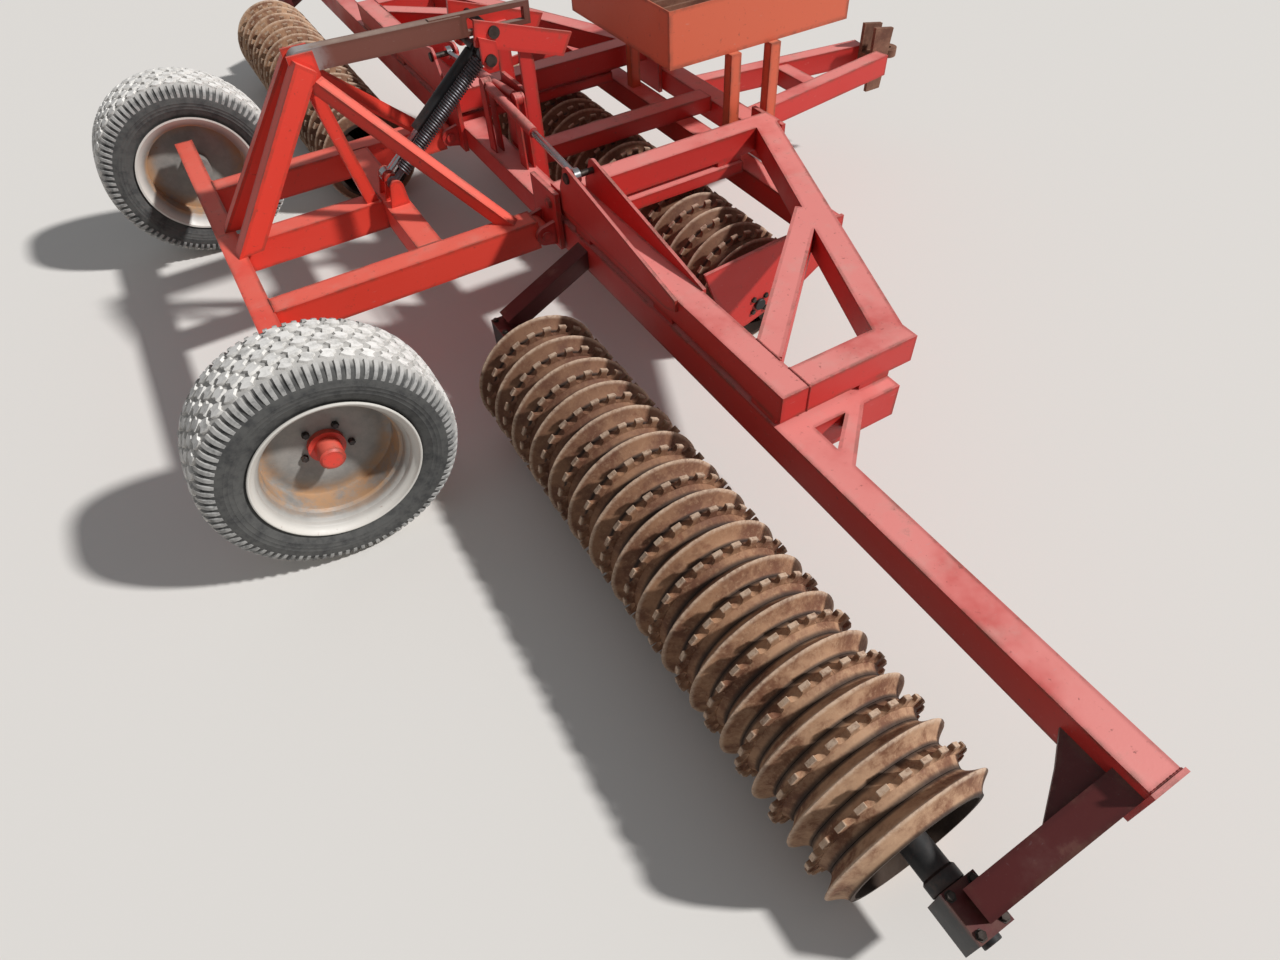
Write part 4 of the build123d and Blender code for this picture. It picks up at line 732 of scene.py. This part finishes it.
# %% Tyres
TREAD_LINE = [(0.0, 0.4105), (0.045, 0.4100), (0.080, 0.4075), (0.105, 0.4030), (0.125, 0.3945), (0.139, 0.3820),
              (0.148, 0.3660), (0.152, 0.3520)]
SIDEWALL = [(0.3400, 0.1525), (0.3370, 0.1535), (0.3340, 0.1525), (0.3270, 0.1512), (0.3240, 0.1522),
            (0.3210, 0.1510), (0.3120, 0.1485), (0.3090, 0.1493), (0.3060, 0.1478), (0.2960, 0.1440),
            (0.2860, 0.1400), (0.2760, 0.1355), (0.2735, 0.1330), (0.2600, 0.1300), (0.2490, 0.1260)]
BLOCK_LIFT = 0.0092
BLOCK_SINK = 0.003
BLOCK_ROWS = (-0.084, -0.042, 0.0, 0.042, 0.084)
BLOCKS_ROUND = 44
BLOCK_WIDTH = 0.041
BLOCK_LENGTH_SHARE = 0.93
BLOCK_TOP_SHARE = 0.88
BLOCK_OUTLINE = [(-0.50, -0.18), (-0.12, -0.50), (0.30, -0.50), (0.24, -0.14), (0.50, 0.18), (0.12, 0.50),
                 (-0.30, 0.50), (-0.24, 0.14)]
SHOULDER_LUGS = 88
LUG_STATIONS = (0.110, 0.126, 0.138, 0.1455, 0.1495)
LUG_LIFTS = (0.0088, 0.0085, 0.0070, 0.0045, 0.0008)
LUG_WIDTH_SHARE = 0.52


def on_tread(angle, y, lift):
    """A point over the tyre's crown, lift metres out from its surface."""
    across = min(abs(y), TREAD_LINE[-1][0] - 1e-6)
    for (y0, r0), (y1, r1) in zip(TREAD_LINE, TREAD_LINE[1:]):
        if y0 <= across < y1:
            break
    radius = r0 + (r1 - r0) * (across - y0) / (y1 - y0)
    out = Vector((r0 - r1, y1 - y0)).normalized()
    radius += lift * out.y
    sideways = (across + lift * out.x) * (1 if y >= 0 else -1)
    return (radius * cos(angle), sideways, radius * sin(angle))


def carcass():
    near = [(radius, y) for y, radius in TREAD_LINE] + SIDEWALL
    far = [(radius, -y) for radius, y in reversed(near[1:])]
    return lathe(far + near, 112)


def block(k, row, y):
    """One Z-shaped tread block that narrows towards its top."""
    points = []
    pitch = 2 * pi / BLOCKS_ROUND
    middle = (k + 0.5 * (row % 2)) * pitch
    turned = 1 if row % 2 else -1
    for share, lift in ((1.0, -BLOCK_SINK), (BLOCK_TOP_SHARE, BLOCK_LIFT)):
        for along, across in BLOCK_OUTLINE:
            angle = middle + along * share * BLOCK_LENGTH_SHARE * pitch
            points.append(on_tread(angle, y + turned * across * share * BLOCK_WIDTH, lift))
    count = len(BLOCK_OUTLINE)
    faces = [tuple(range(count, 2 * count))]
    for i in range(count):
        j = (i + 1) % count
        faces.append((i, j, count + j, count + i))
    return points, faces


def shoulder_lug(k, side):
    """A narrow lug that runs over the shoulder and fades out on the sidewall."""
    pitch = 2 * pi / SHOULDER_LUGS
    points = []
    for station, lift in zip(LUG_STATIONS, LUG_LIFTS):
        reach = 0.5 * LUG_WIDTH_SHARE * pitch
        for edge, height in ((-1.15, -BLOCK_SINK), (-0.85, lift), (0.85, lift), (1.15, -BLOCK_SINK)):
            points.append(on_tread((k + 0.5) * pitch + edge * reach, side * station, height))
    faces = []
    last = len(LUG_STATIONS) - 1
    for i in range(last):
        for j in range(3):
            a = 4 * i + j
            faces.append((a, a + 1, a + 5, a + 4))
    faces += [(0, 1, 2, 3), (4 * last + 3, 4 * last + 2, 4 * last + 1, 4 * last)]
    return points, faces


def at_wheel(name, shape, side, finish):
    """A piece from a shape built round the origin, moved onto the wheel of one side."""
    points, faces = shape
    place = Vector((WHEEL_AXLE.x, side * abs(WHEEL_AXLE.y), WHEEL_AXLE.z))
    return piece_from(name, [Vector(point) + place for point in points], faces, finish)


CARCASS = carcass()
TREAD = merged([block(k, row, y) for row, y in enumerate(BLOCK_ROWS) for k in range(BLOCKS_ROUND)])
LUGS = merged([shoulder_lug(k, side) for side in (-1, 1) for k in range(SHOULDER_LUGS)])
for name, side in (("right", -1), ("left", 1)):
    body = at_wheel("tyre_carcass_" + name, CARCASS, side, tyre_rubber)
    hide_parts("tyre_" + name)
    tread = at_wheel("tyre_tread_" + name, TREAD, side, tread_rubber)
    lugs = at_wheel("tyre_lugs_" + name, LUGS, side, shoulder_rubber)
    for piece in (body, tread, lugs):
        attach(piece, "wheel_" + name)
print("tyres:", len(CARCASS[1]) + len(TREAD[1]) + len(LUGS[1]), "faces each")

# %% Rims and their nuts
RIM_FRONT = [(0.247, 0.1270), (0.2720, 0.1400), (0.2735, 0.1440), (0.2720, 0.1475), (0.2685, 0.1490),
             (0.2650, 0.1475), (0.2625, 0.1430), (0.2570, 0.1340), (0.2480, 0.1290), (0.2440, 0.1240),
             (0.2415, 0.1120), (0.2340, 0.1050), (0.2300, 0.1010), (0.2285, 0.0940), (0.2275, 0.0800),
             (0.2225, 0.0740), (0.2190, 0.0700), (0.2180, 0.0600), (0.2180, 0.0000), (0.2165, -0.0055),
             (0.2120, -0.0080), (0.1900, -0.0080), (0.1830, -0.0055), (0.1200, -0.0055), (0.1130, -0.0080),
             (0.0281, -0.0080)]
RIM_BACK = [(0.0281, -0.1000), (0.0620, -0.1000), (0.0620, -0.0200), (0.2180, -0.0200), (0.2180, -0.1060),
            (0.2630, -0.1460), (0.2720, -0.1460), (0.2470, -0.1260)]
NUT_COUNT = 5
NUT_CIRCLE = 0.082
NUT_RADIUS = 0.0125
NUT_START, NUT_END = -0.0085, 0.0075


def nut(k):
    """A six-sided nut on the wheel's disc, with a rounded end."""
    middle = 2 * pi * k / NUT_COUNT + 0.9
    cx, cz = NUT_CIRCLE * cos(middle), NUT_CIRCLE * sin(middle)
    profile = [(0.0, NUT_START), (NUT_RADIUS, NUT_START), (NUT_RADIUS, NUT_END - 0.003),
               (NUT_RADIUS * 0.8, NUT_END), (0.0, NUT_END)]
    return lathe(profile, 6, (cx, 0.0, cz), middle)


def mirrored(shape, side):
    """The same shape with its outer face on the given side."""
    points, faces = shape
    return [(x, y * side, z) for x, y, z in points], faces


RIM = lathe(RIM_FRONT + RIM_BACK, 96)
NUTS = merged([nut(k) for k in range(NUT_COUNT)])
for name, side in (("right", -1), ("left", 1)):
    rim_piece = at_wheel("rim_turned_" + name, mirrored(RIM, side), side, rim_paint)
    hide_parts("rim_" + name)
    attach(rim_piece, "wheel_" + name)
    nuts = at_wheel("wheel_nuts_" + name, mirrored(NUTS, side), side, black_paint)
    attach(nuts, "wheel_" + name)
print("rims: ", len(RIM[1]), "faces each, and", NUT_COUNT, "nuts")

# %% [markdown]
# ## Spring and pins
# The spring is a real coil: a wire that winds down the line between its two eyes. Round pins with heads go
# through the eyes of the fold cylinders and stand out beside the lever plates.

# %% Spring
SPRING_TOP = Vector((-0.3875, -0.080, 1.040))
SPRING_FOOT = Vector((-0.8725, -0.080, 0.650))
COIL_FROM, COIL_TO = 0.030, 0.556
COIL_RADIUS = 0.0252
WIRE_RADIUS = 0.0045
COIL_TURNS = 46
STEPS_A_TURN = 18
WIRE_SIDES = 6


def tube_along(path, radius, sides):
    """A round wire through the points of a path, with closed ends."""
    points = []
    for index, here in enumerate(path):
        before = path[max(index - 1, 0)]
        after = path[min(index + 1, len(path) - 1)]
        along = (after - before).normalized()
        side = along.cross(Vector((0.0, 1.0, 0.0)))
        side = side.normalized() if side.length > 0.05 else along.cross(Vector((1.0, 0.0, 0.0))).normalized()
        over = along.cross(side)
        for k in range(sides):
            angle = 2 * pi * k / sides
            points.append(here + radius * (cos(angle) * side + sin(angle) * over))
    faces = []
    for i in range(len(path) - 1):
        for k in range(sides):
            j = (k + 1) % sides
            faces.append((i * sides + k, i * sides + j, (i + 1) * sides + j, (i + 1) * sides + k))
    faces += [tuple(range(sides)), tuple(range(len(points) - 1, len(points) - sides - 1, -1))]
    return points, faces


def turned_between(profile, start, along, segments=40):
    """A (radius, distance) profile turned about the line from start along a direction."""
    points, faces = lathe(profile, segments)
    turn = Vector((0.0, 1.0, 0.0)).rotation_difference(along)
    return [start + turn @ Vector(point) for point in points], faces


spring_line = (SPRING_FOOT - SPRING_TOP).normalized()
spring_side = spring_line.cross(Vector((0.0, 1.0, 0.0))).normalized()
coil = []
for step in range(COIL_TURNS * STEPS_A_TURN + 1):
    share = step / (COIL_TURNS * STEPS_A_TURN)
    angle = 2 * pi * step / STEPS_A_TURN
    middle = SPRING_TOP + spring_line * (COIL_FROM + (COIL_TO - COIL_FROM) * share)
    coil.append(middle + COIL_RADIUS * (cos(angle) * spring_side + sin(angle) * Vector((0.0, 1.0, 0.0))))
core = [(0.0, 0.024), (0.017, 0.026), (0.0195, 0.032), (0.0195, 0.552), (0.014, 0.5595), (0.0, 0.5599)]
eye = lathe([(0.0152, -0.008), (0.0245, -0.008), (0.026, -0.0065), (0.026, 0.0065), (0.0245, 0.008),
             (0.0152, 0.008)], 40)
eye_points = [Vector(point) + SPRING_TOP for point in eye[0]]
spring_shapes = [tube_along(coil, WIRE_RADIUS, WIRE_SIDES), turned_between(core, SPRING_TOP, spring_line),
                 (eye_points, eye[1])]
spring_points, spring_faces = merged(spring_shapes)
spring = piece_from("spring_coil", spring_points, spring_faces, spring_steel, radians(60))
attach(spring, "lift_barrel")
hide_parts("spring")
print("spring:", COIL_TURNS, "turns,", len(spring_faces), "faces")

# %% Lever pins
LEVER_LOW, LEVER_HIGH = (Vector(corner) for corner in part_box("lever_plates_right"))
LEVER_EYE_Y = 0.700
LEVER_EYE_Z = 0.785
PIN_RADIUS = 0.0122
HEAD_RADIUS = 0.021
HEAD_THICKNESS = 0.009
pin_profile = [(0.0, LEVER_LOW.x - HEAD_THICKNESS), (HEAD_RADIUS - 0.002, LEVER_LOW.x - HEAD_THICKNESS),
               (HEAD_RADIUS, LEVER_LOW.x - HEAD_THICKNESS + 0.002), (HEAD_RADIUS, LEVER_LOW.x),
               (PIN_RADIUS, LEVER_LOW.x), (PIN_RADIUS, LEVER_HIGH.x), (HEAD_RADIUS, LEVER_HIGH.x),
               (HEAD_RADIUS, LEVER_HIGH.x + HEAD_THICKNESS - 0.002),
               (HEAD_RADIUS - 0.002, LEVER_HIGH.x + HEAD_THICKNESS), (0.0, LEVER_HIGH.x + HEAD_THICKNESS)]
for name, side in (("right", -1), ("left", 1)):
    start = Vector((0.0, side * LEVER_EYE_Y, LEVER_EYE_Z))
    pin_points, pin_faces = turned_between(pin_profile, start, Vector((1.0, 0.0, 0.0)), 24)
    pin = piece_from("lever_pin_" + name, pin_points, pin_faces, dark_steel)
    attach(pin, "wing_" + name)
print("lever pins at", LEVER_EYE_Y, LEVER_EYE_Z)

# %% Gussets at the outer arms
# A flat web fills the inner corner between the long beam and the arm that reaches down to the bearing.
BEAM_LOW, BEAM_HIGH = (Vector(corner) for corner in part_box("roller_frame_right"))
WEB_THICKNESS = 0.010
WEB_OUTLINE = [(-0.3660, -3.199, 0.499), (-0.3660, -3.075, 0.499), (-0.4300, -3.130, 0.468),
               (-0.5250, -3.199, 0.422)]
for name, side in (("right", 1), ("left", -1)):
    upper = [(x, side * y, z) for x, y, z in WEB_OUTLINE]
    lower = [(x, y, z - WEB_THICKNESS) for x, y, z in upper]
    count = len(upper)
    web_faces = [tuple(range(count)), tuple(range(2 * count - 1, count - 1, -1))]
    web_faces += [(i, (i + 1) % count, count + (i + 1) % count, count + i) for i in range(count)]
    # The web takes the arms' near-black red, which is painted shade.
    web = piece_from("arm_web_" + name, upper + lower, web_faces, arm_shade_paint)
    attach(web, "wing_" + name)
print("arm webs from", BEAM_LOW.y, "to", BEAM_HIGH.y)

# %% [markdown]
# ## Welds and bolts
# Beads of weld run where the tubes meet: a thin tube along each seam, thicker and thinner by turns. Bolt heads
# hold the bearings to their flanges and plates.

# %% Weld beads
WING_SEAMS = [((-0.2575, -1.749, 0.680), (-0.2575, -1.873, 0.680)), ((-0.2575, -1.912, 0.680), (-0.2575, -2.012, 0.680)),
              ((-0.2575, -0.610, 0.680), (-0.2575, -0.510, 0.680)), ((-0.2575, -2.012, 0.680), (-0.2575, -2.012, 0.580)),
              ((-0.3660, -3.2795, 0.560), (-0.2660, -3.2795, 0.560)), ((-0.3665, -3.200, 0.4990), (-0.3665, -3.280, 0.4990))]
TAIL_SEAMS = [((-1.5125, -0.470, 0.572), (-1.5125, -0.570, 0.572)), ((-0.9325, -0.470, 0.572), (-0.8325, -0.470, 0.572)),
              ((-1.5125, 0.000, 0.572), (-1.5125, -0.050, 0.572)), ((-0.9325, 0.000, 0.572), (-0.9325, -0.050, 0.572))]
BEAD_RADIUS = 0.0042
BEAD_STEP = 0.005


def bead(start, end, side):
    """One weld bead along a seam, mirrored to the other side where side is -1."""
    start = Vector((start[0], side * start[1], start[2]))
    end = Vector((end[0], side * end[1], end[2]))
    count = max(int((end - start).length / BEAD_STEP), 2)
    path = [start.lerp(end, k / count) for k in range(count + 1)]
    points, faces = tube_along(path, BEAD_RADIUS, 8)
    rippled = []
    for index, point in enumerate(points):
        middle = path[index // 8]
        swell = 0.8 + 0.2 * (index // 8 % 2) + CHIPS.uniform(-0.08, 0.08)
        rippled.append(middle + (point - middle) * swell)
    return rippled, faces


for name, side in (("right", 1), ("left", -1)):
    bead_points, bead_faces = merged([bead(start, end, side) for start, end in WING_SEAMS])
    beads = piece_from("wing_welds_" + name, bead_points, bead_faces, red_paint, radians(60))
    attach(beads, "wing_" + name)
bead_points, bead_faces = merged([bead(start, end, side) for side in (1, -1) for start, end in TAIL_SEAMS])
tail_beads = piece_from("tail_welds", bead_points, bead_faces, tail_paint, radians(60))
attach(tail_beads, "tail")
print("weld beads on", len(WING_SEAMS), "seams a wing and", len(TAIL_SEAMS), "a side of the tail")

# %% Bolt heads
BOLT_RADIUS = 0.0105
BOLT_HEIGHT = 0.009
FLANGE_TOP = 0.312
BEARING_YS = (0.770, 3.240)
BOLT_SPREAD = (0.035, 0.045)
PLATE_BOLT_CIRCLE = 0.043
PLATE_FACE_Y = 1.160


def bolt_head(start, along):
    """A six-sided head on a washer, standing on start along a direction."""
    profile = [(0.0, -0.001), (BOLT_RADIUS * 1.35, -0.001), (BOLT_RADIUS * 1.35, 0.0015), (BOLT_RADIUS, 0.0015),
               (BOLT_RADIUS, BOLT_HEIGHT - 0.0015), (BOLT_RADIUS * 0.85, BOLT_HEIGHT), (0.0, BOLT_HEIGHT)]
    return turned_between(profile, Vector(start), Vector(along), 6)


for name, side in (("right", -1), ("left", 1)):
    heads = []
    for y in BEARING_YS:
        for dx in (-BOLT_SPREAD[0], BOLT_SPREAD[0]):
            for dy in (-BOLT_SPREAD[1], BOLT_SPREAD[1]):
                heads.append(bolt_head((GANG_AXLE.x + dx, side * (y + dy), FLANGE_TOP), (0.0, 0.0, 1.0)))
    head_points, head_faces = merged(heads)
    bolts = piece_from("bearing_bolts_" + name, head_points, head_faces, dark_steel)
    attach(bolts, "wing_" + name)
plate_heads = []
for side in (-1, 1):
    for k in range(4):
        angle = pi / 2 * (k + 0.5)
        x = CENTRE_AXLE.x + PLATE_BOLT_CIRCLE * cos(angle)
        z = CENTRE_AXLE.z + PLATE_BOLT_CIRCLE * sin(angle)
        plate_heads.append(bolt_head((x, side * PLATE_FACE_Y, z), (0.0, side, 0.0)))
head_points, head_faces = merged(plate_heads)
plate_bolts = piece_from("plate_bolts", head_points, head_faces, dark_steel)
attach(plate_bolts, "chassis")
print("bolt heads:", 8, "a wing and", len(plate_heads), "on the gang plates")
